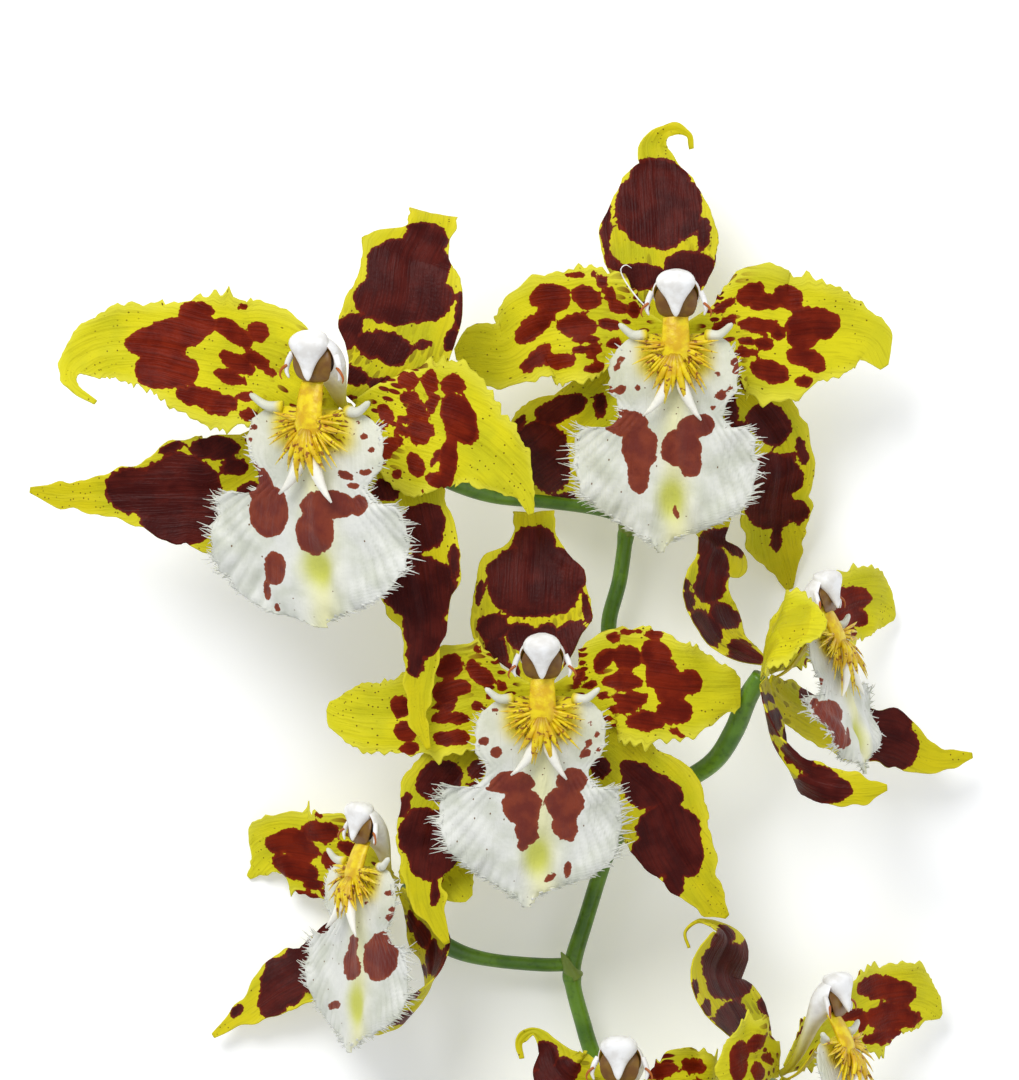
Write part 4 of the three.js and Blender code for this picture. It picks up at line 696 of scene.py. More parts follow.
# The bloom at the lower right, seen from its side.
blooms["f"] = sideBloom | {
    "at": (54.5, -106.8, 36), "size": 0.9, "heart": (1, 0.6, 0), "columnLean": (1.4, 0.6),
    "lip": {"across": 0.86, "along": 0.75, "lift": 5.4, "swing": -5},
    "dorsal_sepal": {"rib": [
        (-1, 1.6, -0.8, 1.1, 1.1), (-4.4, 5, -2.2, 6, 6), (-9.6, 12, -4, 12, 11),
        (-13, 19.6, -5.6, 11, 10), (-10.6, 26, -7.4, 8, 8.4), (-13, 29.2, -8.6, 3, 3),
        (-16.4, 30.4, -9, 1.2, 1.2), (-19.2, 28, -9, 0.8, 0.8), (-18.4, 24.8, -8.6, 0.5, 0.5),
    ], "blotches": [
        (-11.8, 26.8, 2.2, 2.2), (-7, 24.8, 1.6, 1.4), (-11.3, 21.7, 5.4, 4.4), (-10.4, 17.1, 4.6, 2.6),
        (-10.4, 11.1, 3.6, 3), (-17.5, 17.4, 0.6, 1.6), (-15.3, 13.7, 0.9, 1.6),
        (-2.7, 12.5, 2.4, 1.4, -45), (-3.5, 7.9, 0.8, 2), (-1.8, 8.5, 1, 0.5, -40), (-2.7, 4, 1.2, 0.9),
    ]},
    "left_petal": {"rib": [
        (-0.8, 0.8, 1.4, 1.3, 1.3), (-2.6, 3.2, 7, 4.4, 5), (-5, 4.4, 13, 6.6, 7.5), (-8, 4, 18, 7.6, 8),
        (-11, 3, 21.6, 6, 6), (-14, 2.4, 24, 0.8, 0.8),
    ], "blotches": nearPetalBlotches, "drawnOn": "blade"},
    "right_petal": {"rib": [
        (0.8, 1, -1.2, 1.1, 1.1), (5, 4.8, -7, 5.6, 4.6), (12, 8.8, -13.4, 9, 7.6), (19.6, 12, -19, 9, 9),
        (26, 13, -24, 8.2, 7), (30.4, 11.8, -27.6, 4.6, 4), (33.4, 9.8, -30, 0.7, 0.7),
    ], "blotches": [
        (19.9, 16.5, 4.4, 2.4), (24.5, 14.8, 3.2, 2.4), (22.7, 10.2, 5.2, 3), (26.7, 9.7, 2.2, 2),
        (21, 6.2, 4, 1.2, 10), (16.5, 9.7, 1.2, 2), (15, 19.8, 1.1, 0.5), (13.9, 11.1, 3, 1, 10),
        (21.3, 5.1, 1.6, 0.6),
    ]},
    "lipBlotches": [
        (3.8, 5.1, 0.6, 0.3), (4.3, 3.5, 0.6, 0.3), (3.9, -0.5, 1, 0.5), (5.3, -2.2, 0.9, 1.1),
        (8.3, -1.8, 1.3, 0.8, 15), (10.3, -8.2, 2.9, 3), (12.3, -12, 1.5, 3.4, 25), (14.4, -12.6, 0.5, 2),
    ],
}

# The lowest bloom, which the photograph cuts off below its petals.
blooms["g"] = {
    "at": (22.3, -112.8, 32), "facing": (-0.2, 0.1, 0.97), "up": (0, 1, 0), "size": 0.95,
    "heart": (2, 1, 0), "columnLean": (0.6, 0), "lip": {"across": 1, "along": 1, "lift": 0, "swing": 0},
    "lean": (0, 0, 1),
    "dorsal_sepal": {"rib": [
        (-0.8, 1.7, -0.8, 1.1, 1.1), (-6, 3, -1.6, 5.2, 5.2), (-10.4, 4.2, -1.2, 6.4, 7.4),
        (-13, 7, -2, 5, 5.6), (-14.4, 11, -3.6, 2.4, 2.4), (-17.4, 14, -4.2, 1, 1),
        (-20.4, 12.2, -4, 0.8, 0.8), (-19.8, 8.6, -3.6, 0.5, 0.5),
    ], "blotches": [
        (-15.1, 8.8, 2.6, 3.4), (-10.8, 7.1, 2.8, 1.8), (-13.6, 4.6, 4.4, 3), (-7, 1.5, 2, 1.6),
    ]},
    "left_petal": {"rib": [
        (-1.9, 0, 0.75, 1, 1), (-6.8, -2.8, 0.9, 4.2, 4.2), (-12, -7.6, 0.9, 8.4, 8.6),
        (-17.6, -13.4, 1.2, 10.2, 10), (-23.4, -18.6, -0.4, 8, 8), (-29, -22.6, -2.4, 5, 5),
        (-33, -25, -3.8, 1, 1),
    ], "blotches": [
        (-19, -15, 5, 3.6, 40), (-24, -19, 3, 2.6, 40), (-13, -5, 2.6, 1.4, 40), (-11, -9, 2.4, 1.2, 40),
        (-15, -12.4, 1.8, 1, 40), (-8, -4, 1.8, 1, 30), (-16, -19, 2.4, 1, 30),
    ]},
    "right_petal": {"rib": [
        (1.5, 0.9, 0.75, 1.3, 1.3), (7, 1, 1.6, 6, 6), (12, 1.6, 1.8, 10, 9), (16, 1.2, 0, 9.4, 9),
        (18.8, 0.8, -4.4, 7.6, 7), (20, 0.6, -9, 5, 4.6), (20.4, 0.6, -13, 1, 1),
    ], "blotches": [
        (7.5, 6.5, 4.6, 1.6, 10), (14.4, 7.4, 2.6, 1.4, -20), (7.3, 9.8, 0.7, 0.9), (5.8, 9.4, 0.5, 0.5),
        (15.5, 1, 3, 3.6), (9, 1, 3, 1.2), (9.5, -2.6, 2.6, 1), (14, -5.6, 3, 1.4),
    ]},
    "left_lateral_sepal": {"rib": [
        (-1, -1.6, -0.6, 1.3, 1.3), (-4.4, -9.4, -1.4, 6, 6), (-7.6, -17.6, -2.6, 8.4, 8.4),
        (-9.6, -26, -4.4, 8.4, 8.4), (-10.4, -34, -7, 5, 5), (-9.4, -41, -9.6, 2.8, 2.8),
        (-7.4, -47, -12, 0.6, 0.6),
    ], "blotches": [
        (-4, -9.4, 2.6, 2.4), (-7.4, -16.4, 5.4, 3.2), (-9.8, -26.5, 5.8, 6), (-10.6, -34, 2.6, 4),
    ]},
    "right_lateral_sepal": {"rib": [
        (1.5, -0.9, -0.6, 1.3, 1.3), (7.4, -8.4, -1.6, 5, 5), (13.4, -15.6, -3, 7.2, 7.2),
        (19.4, -22, -3.4, 7.6, 7.6), (23.4, -28, -3, 6.6, 6.6), (26, -36, -4.4, 3.2, 3.2),
        (29, -43, -6, 0.6, 0.6),
    ], "blotches": [
        (7.6, -8.4, 2.4, 2), (13, -15, 3.8, 3.2, -40), (21, -25, 5.6, 5, -50), (25, -32.4, 2.4, 3),
    ]},
    "lipBlotches": [
        (-5.9, -16.8, 4.2, 2.6), (-4.2, -21.3, 3.7, 4), (-3.3, -25.7, 2.5, 3.6), (5.6, -16.4, 3.4, 2.4),
        (4.3, -20.8, 3.9, 3.8), (4.3, -25.3, 2.4, 3), (-11.7, -8.3, 1.2, 0.7), (-9.2, -10.6, 1.3, 1.1),
        (9, -8.6, 0.7, 0.6), (8.1, -11, 1.3, 0.9, 30), (1.6, -34, 1.5, 0.6, 35),
    ],
}


# A tepal: a rib through its points, half-widths to either side, dished by the square of the way out,
# rippled by a sine along it, its edge uneven and its tip closed.
def tepalPart(bloom, blade, kind, seed):
    random = np.random.default_rng(seed)
    rows, columns = kind["grid"]
    rib = np.array([tuple(row) + (0,) * (6 - len(row)) for row in blade["rib"]], float)
    t = np.linspace(0, 1, rows + 1)
    values, slopes = curveThrough(rib, t)
    along = unit(slopes[:, :3])
    across = carriedAcross(along, unit(np.cross(along[0], np.array(bloom["lean"], float))))
    roll = np.radians(values[:, 5])[:, None]
    across = across * np.cos(roll) + np.cross(along, across) * np.sin(roll)
    normal = unit(np.cross(across, along))
    u = np.linspace(-1, 1, columns + 1)[None, :]
    u = np.sign(u) * (1 - (1 - np.abs(u)) ** 1.25)  # columns lie closer together near the edges
    half = np.maximum(np.where(u < 0, values[:, 3:4], values[:, 4:5]), 0.3)
    length = np.linalg.norm(np.diff(values[:, :3], axis=0), axis=1).sum()
    fade = 1 - 0.75 * smoothStep(t, 0.5, 0.8)
    sides = [kind["tooth"] * edgeTeeth(t, length, random) * fade for side in range(2)]
    broad = [kind["lobe"] * edgeLobes(t, length, random) for side in range(2)]
    room = smoothStep(t, 0.05, 0.18) * (1 - smoothStep(t, 0.86, 0.97))
    toothed = np.where(u < 0, sides[0][:, None], sides[1][:, None]) * np.abs(u) ** 9
    lobed = np.where(u < 0, broad[0][:, None], broad[1][:, None]) * np.abs(u) ** 3
    edge = np.sign(u) * (toothed + lobed) * room[:, None]
    envelope = np.sin(np.pi * np.minimum(1, 0.08 + t))[:, None]
    phase = random.random() * 2 * np.pi + np.where(u < 0, 2.2, 0)
    ripple = kind["ripple"] * envelope * u * u * np.sin(2 * np.pi * kind["ripples"] * t[:, None] + phase)
    folds = random.random(4) * 6.3
    buckle = np.sin(5.1 * t[:, None] * 3 + 3 * u + folds[0]) * np.sin(3.3 * u - 7 * t[:, None] + folds[1])
    buckle += 0.5 * np.sin(23 * t[:, None] + 5 * u + folds[2]) * u * u
    groove = tepal["grooveDepth"] * np.exp(-((u * half / tepal["grooveWidth"]) ** 2)) * envelope
    lift = kind["dish"] * half * u * u + ripple + kind["buckle"] * envelope * buckle - groove
    surface = values[:, None, :3] + across[:, None] * (u * half + edge)[..., None]
    surface = surface + normal[:, None] * lift[..., None]
    acrossMm = u * half * np.ones_like(t)[:, None]
    alongMm = t[:, None] * length * np.ones_like(u)
    if blade.get("drawnOn") == "blade":
        depth = ovalDepth(alongMm, acrossMm, blade["blotches"])
    else:
        depth = ovalDepth(surface[..., 0], surface[..., 1], blade["blotches"])
    thickness = tepal["middle"] + (tepal["edge"] - tepal["middle"]) * np.abs(u) ** 3
    marks = {
        "blotch": depth - tepal["blotchGrowth"], "margin": np.abs(u) * np.ones_like(depth),
        "along": alongMm / length, "reach": alongMm,
    }
    uv = np.stack([0.5 + acrossMm * mapPerMm, alongMm * mapPerMm], -1)
    part = thickened(surface + np.array(bloom["at"]), thickness * np.ones_like(depth), marks, uv)
    if blade.get("through"):
        part["values"]["backSide"] *= 0
    return part


petalLook = {
    "yellow": "#d2c81a", "yellowGreen": "#bfba1c", "margin": "#dcd545", "tip": "#cfc728", "veins": "#9f9410",
    "brown": "#5c1204", "brownLight": "#761f08", "brownDark": "#3c0a03", "rim": "#8a2c08",
    "spots": "#4a2008", "lobes": 2.2, "fray": 1.1, "streaks": 1.0, "sockets": {"Specular_IOR_Level": 0.07},
}
sepalLook = {
    "yellow": "#cbbd12", "yellowGreen": "#b4b016", "margin": "#d8cd30", "tip": "#c9b80e", "veins": "#948a10",
    "brown": "#3c0905", "brownLight": "#52160e", "brownDark": "#290403", "rim": "#741e08",
    "spots": "#4a2008", "lobes": 2.4, "fray": 1.2, "streaks": 0.5, "sockets": {"Specular_IOR_Level": 0.1},
}


# Yellow blades with brown blotches: the outline of each blotch is its oval's depth pushed about by two
# noises. Small brown streaks crowd the foot of the blade, and fine dark dots lie here and there on the
# yellow.
def blotchedFinish(name, look):
    board = Board(name)
    depth = board.mark("blotch") + (board.cloud(3.6) - 0.5) * look["lobes"]
    depth = depth + (board.cloud(1.1) - 0.5) * look["fray"]
    inside = 1 - board.step(depth, -0.06, 0.08)
    rim = inside * board.step(depth, -0.7, -0.05)
    back = board.mark("backSide")
    veins = board.veins(0.55)
    foot = board.step(board.mark("reach"), 2.0, 4.0) * (1 - board.step(board.mark("reach"), 9.0, 14.0))
    streaks = board.dots(1.5, 3.4, 0.36, 0.35) * foot * look["streaks"]
    yellow = board.mottled(9.0, 0.35, 0.7, look["yellow"], look["yellowGreen"])
    yellow = board.blend(board.step(board.mark("margin"), 0.7, 1.0) * 0.6, yellow, look["margin"])
    yellow = board.blend(board.step(board.mark("along"), 0.6, 1.0) * 0.5, yellow, look["tip"])
    yellow = board.blend(board.step(veins, 0.5, 0.72) * 0.3, yellow, look["veins"])
    spots = board.dots(1.5, 1.5, 0.12, 0.5) * board.step(board.cloud(7.0), 0.45, 0.6)
    yellow = board.blend(spots * 0.9, yellow, look["spots"])
    brown = board.mottled(5.0, 0.36, 0.66, look["brown"], look["brownLight"], 4.0)
    brown = board.blend(board.step(veins, 0.45, 0.7) * 0.35, brown, look["brownDark"])
    brown = board.blend(rim * 0.6, brown, look["rim"])
    marked = board.maths("MAXIMUM", inside, streaks)
    colour = board.blend(marked * (1 - back * 0.88), yellow, brown)
    roughness = 0.52 - inside * 0.08 + (board.cloud(1.4) - 0.5) * 0.2
    height = veins + board.cloud(0.6, 2.0) * 0.5
    return board.finish(colour, roughness, height, 0.3, **look["sockets"])


# The right, up and forward directions of a bloom.
def bloomAxes(bloom):
    forward = unit(np.array(bloom["facing"], float))
    up = np.array(bloom["up"], float)
    up = unit(up - forward * (up @ forward))
    return np.cross(up, forward), up, forward


# A point given right, up and forward of a bloom's centre, plus the shift of the bloom's heart, which grows
# from nothing at the centre to the whole 9 mm in front of it.
def inBloom(bloom, right, up, forward):
    axes = bloomAxes(bloom)
    size = bloom["size"]
    right, up, forward = (np.asarray(part, float)[..., None] * size for part in (right, up, forward))
    foot = np.array(bloom["at"]) + np.array(bloom["heart"]) * smoothStep(forward, 0, 9)
    return foot + right * axes[0] + up * axes[1] + forward * axes[2]


# The lip: points down its middle in the bloom's own frame (right, up, forward), the half-widths left and
# right, and how far its edges are drawn upward. The tail is its lower end, which a bloom may have of its
# own.
lip = {
    "rib": [
        (0, -1.8, 0.75, 1.3, 1.3, 0), (0, -2.4, 5, 1.7, 1.7, 0), (0, -1.6, 10, 3.4, 3.4, 0.6),
        (0, -2.8, 13.2, 6.6, 6.4, 2), (0, -5.4, 13.9, 10.4, 10.2, 3.4), (0, -8.8, 13.9, 13.2, 12.4, 3),
        (0, -12.4, 13.4, 13.4, 12, 1.2), (-0.2, -15.8, 12.9, 11.6, 9.6, 0.2),
        (-0.8, -19, 12.6, 13, 11.2, 0), (-1.4, -21.6, 12.4, 18.6, 15.8, 1.6),
        (-2.2, -26.8, 12, 19, 17.8, 1.2),
    ],
    "tail": [
        (-2.4, -32, 11.6, 17, 17.2, 0), (-2.6, -35.8, 11.2, 13.2, 15, 0), (-3, -38.8, 10.8, 8.8, 10, 0),
        (-3.6, -41.4, 10.2, 3.4, 3.4, 0), (-3.8, -43, 9.8, 1.4, 1.4, 0), (-3.8, -44.4, 9.4, 0.7, 0.7, 0),
    ],
    "grid": (96, 76), "dish": -0.06, "ripple": 1.7, "ripples": 4, "pleat": 0.15, "pleats": 96, "nick": 1.6,
    "thickness": 0.5, "bendForward": 12, "swingFromUp": -8, "swingLength": 36,
}
fringe = {"hairs": 340, "longest": 3.2, "shortest": 0.8, "radius": 0.1, "rings": 6, "sides": 4}
horn = {"path": [(6.2, -0.8, 13.6), (8.8, -0.5, 14.8), (11.4, 1.7, 15.6)], "radius": 1.2}


# How high a lip, crest or column part stands: the bloom's lift grows from the foot to the bend.
def lifted(bloom, up, forward):
    return up + bloom["lip"]["lift"] * smoothStep(np.asarray(forward, float), 0, lip["bendForward"])


# The lip's middle surface: side lobes, then the broad lobe with its pleats (a sine of the turn about the
# crest), its fold down the middle and the hollow near its tip, each a bell of the distance from its own
# middle.
def lipPart(bloom, seed):
    random = np.random.default_rng(seed)
    rows, columns = lip["grid"]
    t = np.linspace(0, 1, rows + 1)
    values = curveThrough(lip["rib"] + bloom["lip"].get("tail", lip["tail"]), t)[0]
    u = np.linspace(1, -1, columns + 1)[None, :]  # from right to left, so that the upper face looks forward
    half = np.maximum(np.where(u < 0, values[:, 3:4], values[:, 4:5]), 0.3)
    broad = smoothStep(t, 0.5, 0.62)[:, None]
    nicks = np.where(u < 0, edgeTeeth(t, 60, random)[:, None], edgeTeeth(t, 60, random)[:, None])
    edge = np.sign(u) * lip["nick"] * nicks * np.abs(u) ** 10 * smoothStep(t, 0.2, 0.3)[:, None]
    envelope = np.sin(np.pi * np.minimum(1, 0.08 + t))[:, None]
    wave = 2 * np.pi * lip["ripples"] * t[:, None] + 1.1 + np.where(u < 0, 2.2, 0)
    ripple = broad * lip["ripple"] * envelope * u * u * np.sin(wave)
    right = values[:, 0:1] + u * half + edge
    up = values[:, 1:2] + values[:, 5:6] * u * u
    turn = np.arctan2(right, -(up + 6))
    reach = np.hypot(right, up + 6)
    pleats = np.sin(lip["pleats"] * turn + 3 * np.sin(5 * turn) + 0.25 * reach)
    pleats = pleats * smoothStep(np.abs(u), 0.35, 0.8) * smoothStep(reach, 9, 18)
    fold = 0.8 * np.exp(-((right + 0.4) / 1.3) ** 2) * smoothStep(-up, 14, 18)
    fold = fold * (1 - smoothStep(-up, 26, 31))
    hollow = -2 * np.exp(-(((right + 1.4) / 2.8) ** 2 + ((up + 35) / 4.4) ** 2))
    lips = 0.9 * np.exp(-(((np.abs(right + 1.4) - 4.2) / 1.5) ** 2 + ((up + 35.5) / 4) ** 2))
    cushion = 1.1 * np.exp(-(((np.abs(right) - 4.4) / 2.4) ** 2 + ((up + 1.6) / 2.8) ** 2))
    forward = values[:, 2:3] + lip["dish"] * half * u * u + ripple + lip["pleat"] * pleats
    forward = forward + fold + hollow + lips + cushion
    forward += 0.45 * np.sin(0.8 * right + 2 * np.sin(0.45 * up)) * broad * np.abs(u)
    hanging = np.clip((lip["swingFromUp"] - values[:, 1:2]) / lip["swingLength"], 0, 1)
    surface = inBloom(
        bloom, right * bloom["lip"]["across"],
        lifted(bloom, up * bloom["lip"]["along"], values[:, 2:3]), forward - bloom["lip"]["swing"] * hanging,
    )
    at = bloom["at"]
    depth = ovalDepth(surface[..., 0] - at[0], surface[..., 1] - at[1], bloom["lipBlotches"])
    gold = np.exp(-(((right + 0.3) / 8.2) ** 4 + ((up + 3.4) / 6.6) ** 4))
    cream = np.exp(-((right + 0.4) / 3) ** 2) * smoothStep(-up, 8, 13) + 0.3 * smoothStep(up, -16, -8)
    pouch = np.exp(-(((right + 1.6) / 3.2) ** 2 + ((up + 33.5) / 5) ** 2))
    marks = {
        "blotch": depth, "gold": gold, "cream": np.clip(cream, 0, 1), "pouch": pouch,
        "turn": np.arctan2(right, -(up + 2.6)), "reach": np.hypot(right, up + 2.6), "pleats": pleats,
    }
    uv = np.stack([0.5 + u * half * mapPerMm, t[:, None] * 0.6 * np.ones_like(half)], -1)
    thickness = np.full(half.shape, lip["thickness"]) * (1 - 0.5 * np.abs(u) ** 4)
    body = thickened(surface, thickness, marks, uv)
    return [body, fringePart(surface, t, random), *hornParts(bloom)]


# The fringe: tapered hairs rooted inside the lip's edge, leaving it outward and curling a little.
def fringePart(surface, t, random):
    hairs = fringe["hairs"]
    side = random.integers(0, 2, hairs)
    high = random.random(hairs) < 0.2
    place = np.where(high, random.uniform(0.27, 0.5, hairs), random.uniform(0.53, 0.93, hairs))
    row = np.clip((place * (len(t) - 1)).astype(int), 0, len(t) - 2)
    edge = np.where(side == 1, surface.shape[1] - 1, 0)
    inner = np.where(side == 1, surface.shape[1] - 5, 4)
    tip = surface[row, edge]
    outward = unit(tip - surface[row, inner])
    down = unit(surface[row + 1, edge] - tip)
    tip = tip + (surface[row + 1, edge] - tip) * random.random((hairs, 1))
    fade = 1 - 0.75 * smoothStep(place, 0.68, 0.8)
    spread = fringe["longest"] - fringe["shortest"]
    length = fringe["shortest"] + spread * random.random(hairs) ** 1.3 * fade
    length = np.where(place < 0.51, 0.7 + 0.8 * random.random(hairs), length)
    bend = (random.random((hairs, 3)) - 0.5) * 1.3
    s = np.linspace(0, 1, fringe["rings"])[None, :, None]
    way = unit(outward + down * (random.random((hairs, 1)) - 0.6) * 1.1)
    paths = tip[:, None] - outward[:, None] * 0.9 + way[:, None] * s * (length + 0.9)[:, None, None]
    paths += bend[:, None] * s**2 * (length * 0.45)[:, None, None]
    radii = fringe["radius"] * (1.9 - 1.5 * s[..., 0]) * (0.7 + 0.7 * random.random((hairs, 1)))
    return tubes(paths, radii, fringe["sides"], {"blotch": 9, "cream": 0})


# The two white horns at the foot of the side lobes: blunt curved cones, their radius a share that falls to
# 0.45 and closes at the tip by a square root.
def hornParts(bloom):
    parts = []
    share = np.linspace(0, 1, 12)
    for side in (-1, 1):
        stations = [(side * right, up, forward) for right, up, forward in horn["path"]]
        path = curveThrough(stations, share)[0]
        place = inBloom(
            bloom, path[:, 0] * bloom["lip"]["across"],
            lifted(bloom, path[:, 1] * bloom["lip"]["along"], path[:, 2]), path[:, 2],
        )
        radii = horn["radius"] * bloom["size"] * (1 - 0.55 * share)
        radii = radii * np.sqrt(np.clip((1.03 - share) / 0.12, 0, 1))
        part = tubes(place[None], radii[None], 14, {"blotch": 9, "cream": 0.2})
        part["values"]["gold"] = np.clip(0.9 - 2.6 * part["values"]["share"], 0, 1)
        parts.append(part)
    return parts


# The folds colour is the grey of painted shade in the lip's folds.
lipLook = {
    "white": "#dcdcd2", "whiteDark": "#c6c8b7", "folds": "#a9ad9a", "cream": "#e0dc9a", "hollow": "#c3c63c",
    "gold": "#dcc806", "dashes": "#6a2206", "spots": "#6a4a22", "brown": "#661c0a", "brownLight": "#7c2e12",
    "rim": "#8a3c12",
}


# The lip: white with a cream middle, gold with brown dashes about the crest, a green-yellow hollow near the
# tip, red-brown blotches, and grey painted shade in the folds that run out to the fringe.
def lipFinish():
    board = Board("fringedLip")
    depth = board.mark("blotch") + (board.cloud(3.0) - 0.5) * 1.5 + (board.cloud(0.9) - 0.5) * 0.7
    inside = 1 - board.step(depth, -0.06, 0.08)
    rim = inside * board.step(depth, -0.6, -0.05)
    pleats = board.mark("pleats")
    reach = board.mark("reach")
    white = board.mottled(6.0, 0.35, 0.7, lipLook["white"], lipLook["whiteDark"])
    # Painted shade: grey where the pleats fold in.
    white = board.blend((1 - board.step(pleats, -0.9, 0.2)) * 0.3, white, lipLook["folds"])
    white = board.blend(board.mark("cream") * 0.7, white, lipLook["cream"])
    white = board.blend(board.step(board.mark("pouch"), 0.1, 0.9) * 0.85, white, lipLook["hollow"])
    white = board.blend(board.step(board.mark("gold"), 0.12, 0.8), white, lipLook["gold"])
    rays = board.maths("SINE", board.mark("turn") * 36.0 + board.cloud(1.6) * 5.0)
    dashes = board.step(rays, 0.25, 0.6) * board.step(reach, 2.2, 3.2) * (1 - board.step(reach, 6.0, 8.5))
    dashes = dashes * board.step(board.cloud(1.3), 0.44, 0.54)
    white = board.blend(dashes * 0.9, white, lipLook["dashes"])
    white = board.blend(board.dots(3.2, 3.2, 0.05, 0.6), white, lipLook["spots"])
    brown = board.mottled(4.0, 0.36, 0.66, lipLook["brown"], lipLook["brownLight"], 4.0)
    brown = board.blend(rim * 0.6, brown, lipLook["rim"])
    colour = board.blend(inside * (1 - board.mark("backSide") * 0.7), white, brown)
    roughness = 0.55 + (board.cloud(1.5) - 0.5) * 0.2
    height = board.veins(0.7) + board.cloud(0.8, 2.0) * 0.6 + pleats * 0.35
    return board.finish(colour, roughness, height, 0.3, Specular_IOR_Level=0.35, Sheen_Weight=0.05)


# The crest: a pad of ovals (up, forward, half-width, half-height), a fan of fingers about its root, long
# central fingers and two long prongs, each given by the way it leaves and the way it ends in degrees, its
# length and its radius.
crest = {
    "pad": [
        (4.6, 14.4, 2.3, 0.9), (2, 15.2, 2.6, 1.1), (-1.4, 15.8, 2.8, 1.3), (-3.4, 16, 3, 1.2),
        (-5.4, 15.8, 2.2, 1), (-6.6, 15.4, 0.8, 0.5),
    ],
    "root": (-2.4, 16.2), "fingers": 31, "fromDegrees": 172, "toDegrees": 368, "longest": 11.4,
    "radius": 0.29, "shortShare": 0.66, "prongs": [(264, 245, 15.8, 1.05), (275, 288, 16, 1.05)],
    "centrals": [
        (247, 243, 9.8, 0.5), (257, 259, 12, 0.62), (267, 265, 9.4, 0.62), (277, 281, 12.2, 0.62),
        (289, 293, 10.2, 0.5),
    ],
    "centralHeight": 2.2, "prongHeight": 0.9,
}


# Oval rings in a bloom's frame, square to the line of their centres.
def ovalRings(bloom, stations, sides, steps):
    t = np.linspace(0, 1, steps)
    values = curveThrough(stations, t)[0]
    right, up, forward = bloomAxes(bloom)
    centres = inBloom(bloom, np.zeros(steps), lifted(bloom, values[:, 0], values[:, 1]), values[:, 1])
    along = unit(np.gradient(centres, axis=0))
    depth = np.cross(along, right)
    angle = np.linspace(0, 2 * np.pi, sides, endpoint=False)[None, :, None]
    size = bloom["size"]
    wide = right * np.cos(angle) * values[:, 2, None, None] * size
    high = depth[:, None] * np.sin(angle) * values[:, 3, None, None] * size
    return centres[:, None] + wide + high


# The crest: the pad, fingers fanned round its root, five long central fingers and two white prongs. A
# finger's way turns from the first to the second of its angles as it runs out, and it rises and falls by a
# sine.
def crestParts(bloom, seed):
    random = np.random.default_rng(seed)
    rings = ovalRings(bloom, crest["pad"], 28, 26)
    parts = [shell(rings, {"kind": np.zeros(rings.shape[:2])})]
    longest = bloom.get("crestSpread", 1) * crest["longest"]
    count = crest["fingers"]
    degrees = np.linspace(crest["fromDegrees"], crest["toDegrees"], count) + 5 * (random.random(count) - 0.5)
    rows = []
    for turn, degree in enumerate(degrees):
        long = longest * (1 - 0.28 * abs(np.cos(np.radians(degree))) ** 3) * (0.84 + 0.28 * random.random())
        if turn % 3 == 1:
            long *= crest["shortShare"]
        bend = degree + 8 * (random.random() - 0.5)
        radius = crest["radius"] * (0.85 + 0.4 * random.random())
        rows.append((degree, bend, long, radius, 0.3 + 1.3 * random.random(), 1))
    rows += [(*row, crest["centralHeight"], 1) for row in crest["centrals"]]
    rows += [(*row, crest["prongHeight"], 2) for row in crest["prongs"]]
    s = np.linspace(0, 1, 9)
    for degree, bend, long, radius, height, kind in rows:
        turn = np.radians(degree + (bend - degree) * s**1.5)
        reach = 1.4 + (long - 1.4) * s
        up = crest["root"][0] + bloom["lip"]["lift"] + reach * np.sin(turn)
        forward = crest["root"][1] - 1 + height * np.sin(np.pi * np.minimum(1, 0.2 + s * 0.7)) + 0.5 * s
        path = inBloom(bloom, reach * np.cos(turn), up, forward)
        thick = radius * bloom["size"] * (0.8 + 0.45 * np.sin(np.pi * s))
        thick = thick * np.sqrt(np.clip((1.03 - s) / 0.5, 0, 1))
        parts.append(tubes(path[None], thick[None], 7, {"kind": kind}))
    return parts


crestLook = {
    "gold": "#e6cc08", "goldDark": "#cfa404", "foot": "#86480a", "tip": "#f0e470", "prongs": "#eeebdc",
    "streaks": "#7a2a0c",
}


# The crest: golden, with brown streaks along the fingers, browner at their feet and paler at their tips,
# and white prongs.
def crestFinish():
    board = Board("goldenCrest")
    kind = board.mark("kind")
    share = board.mark("share")
    gold = board.mottled(2.0, 0.35, 0.65, crestLook["gold"], crestLook["goldDark"])
    finger = board.step(kind, 0.5, 0.6)
    prong = board.step(kind, 1.4, 1.6)
    gold = board.blend((1 - board.step(share, 0.05, 0.35)) * finger * 0.55, gold, crestLook["foot"])
    gold = board.blend(board.step(share, 0.75, 1.0) * finger * 0.6, gold, crestLook["tip"])
    gold = board.blend(prong * board.step(share, 0.25, 0.55), gold, crestLook["prongs"])
    streak = board.step(board.cloud(1.1, 2.0), 0.56, 0.64) * board.step(share, 0.1, 0.3) * finger
    streak = streak * (1 - board.step(share, 0.8, 0.95)) * (1 - prong)
    colour = board.blend(streak * 0.85, gold, crestLook["streaks"])
    roughness = 0.42 + (board.cloud(1.2) - 0.5) * 0.15
    return board.finish(colour, roughness, board.cloud(0.7, 2.0), 0.2, Specular_IOR_Level=0.4)


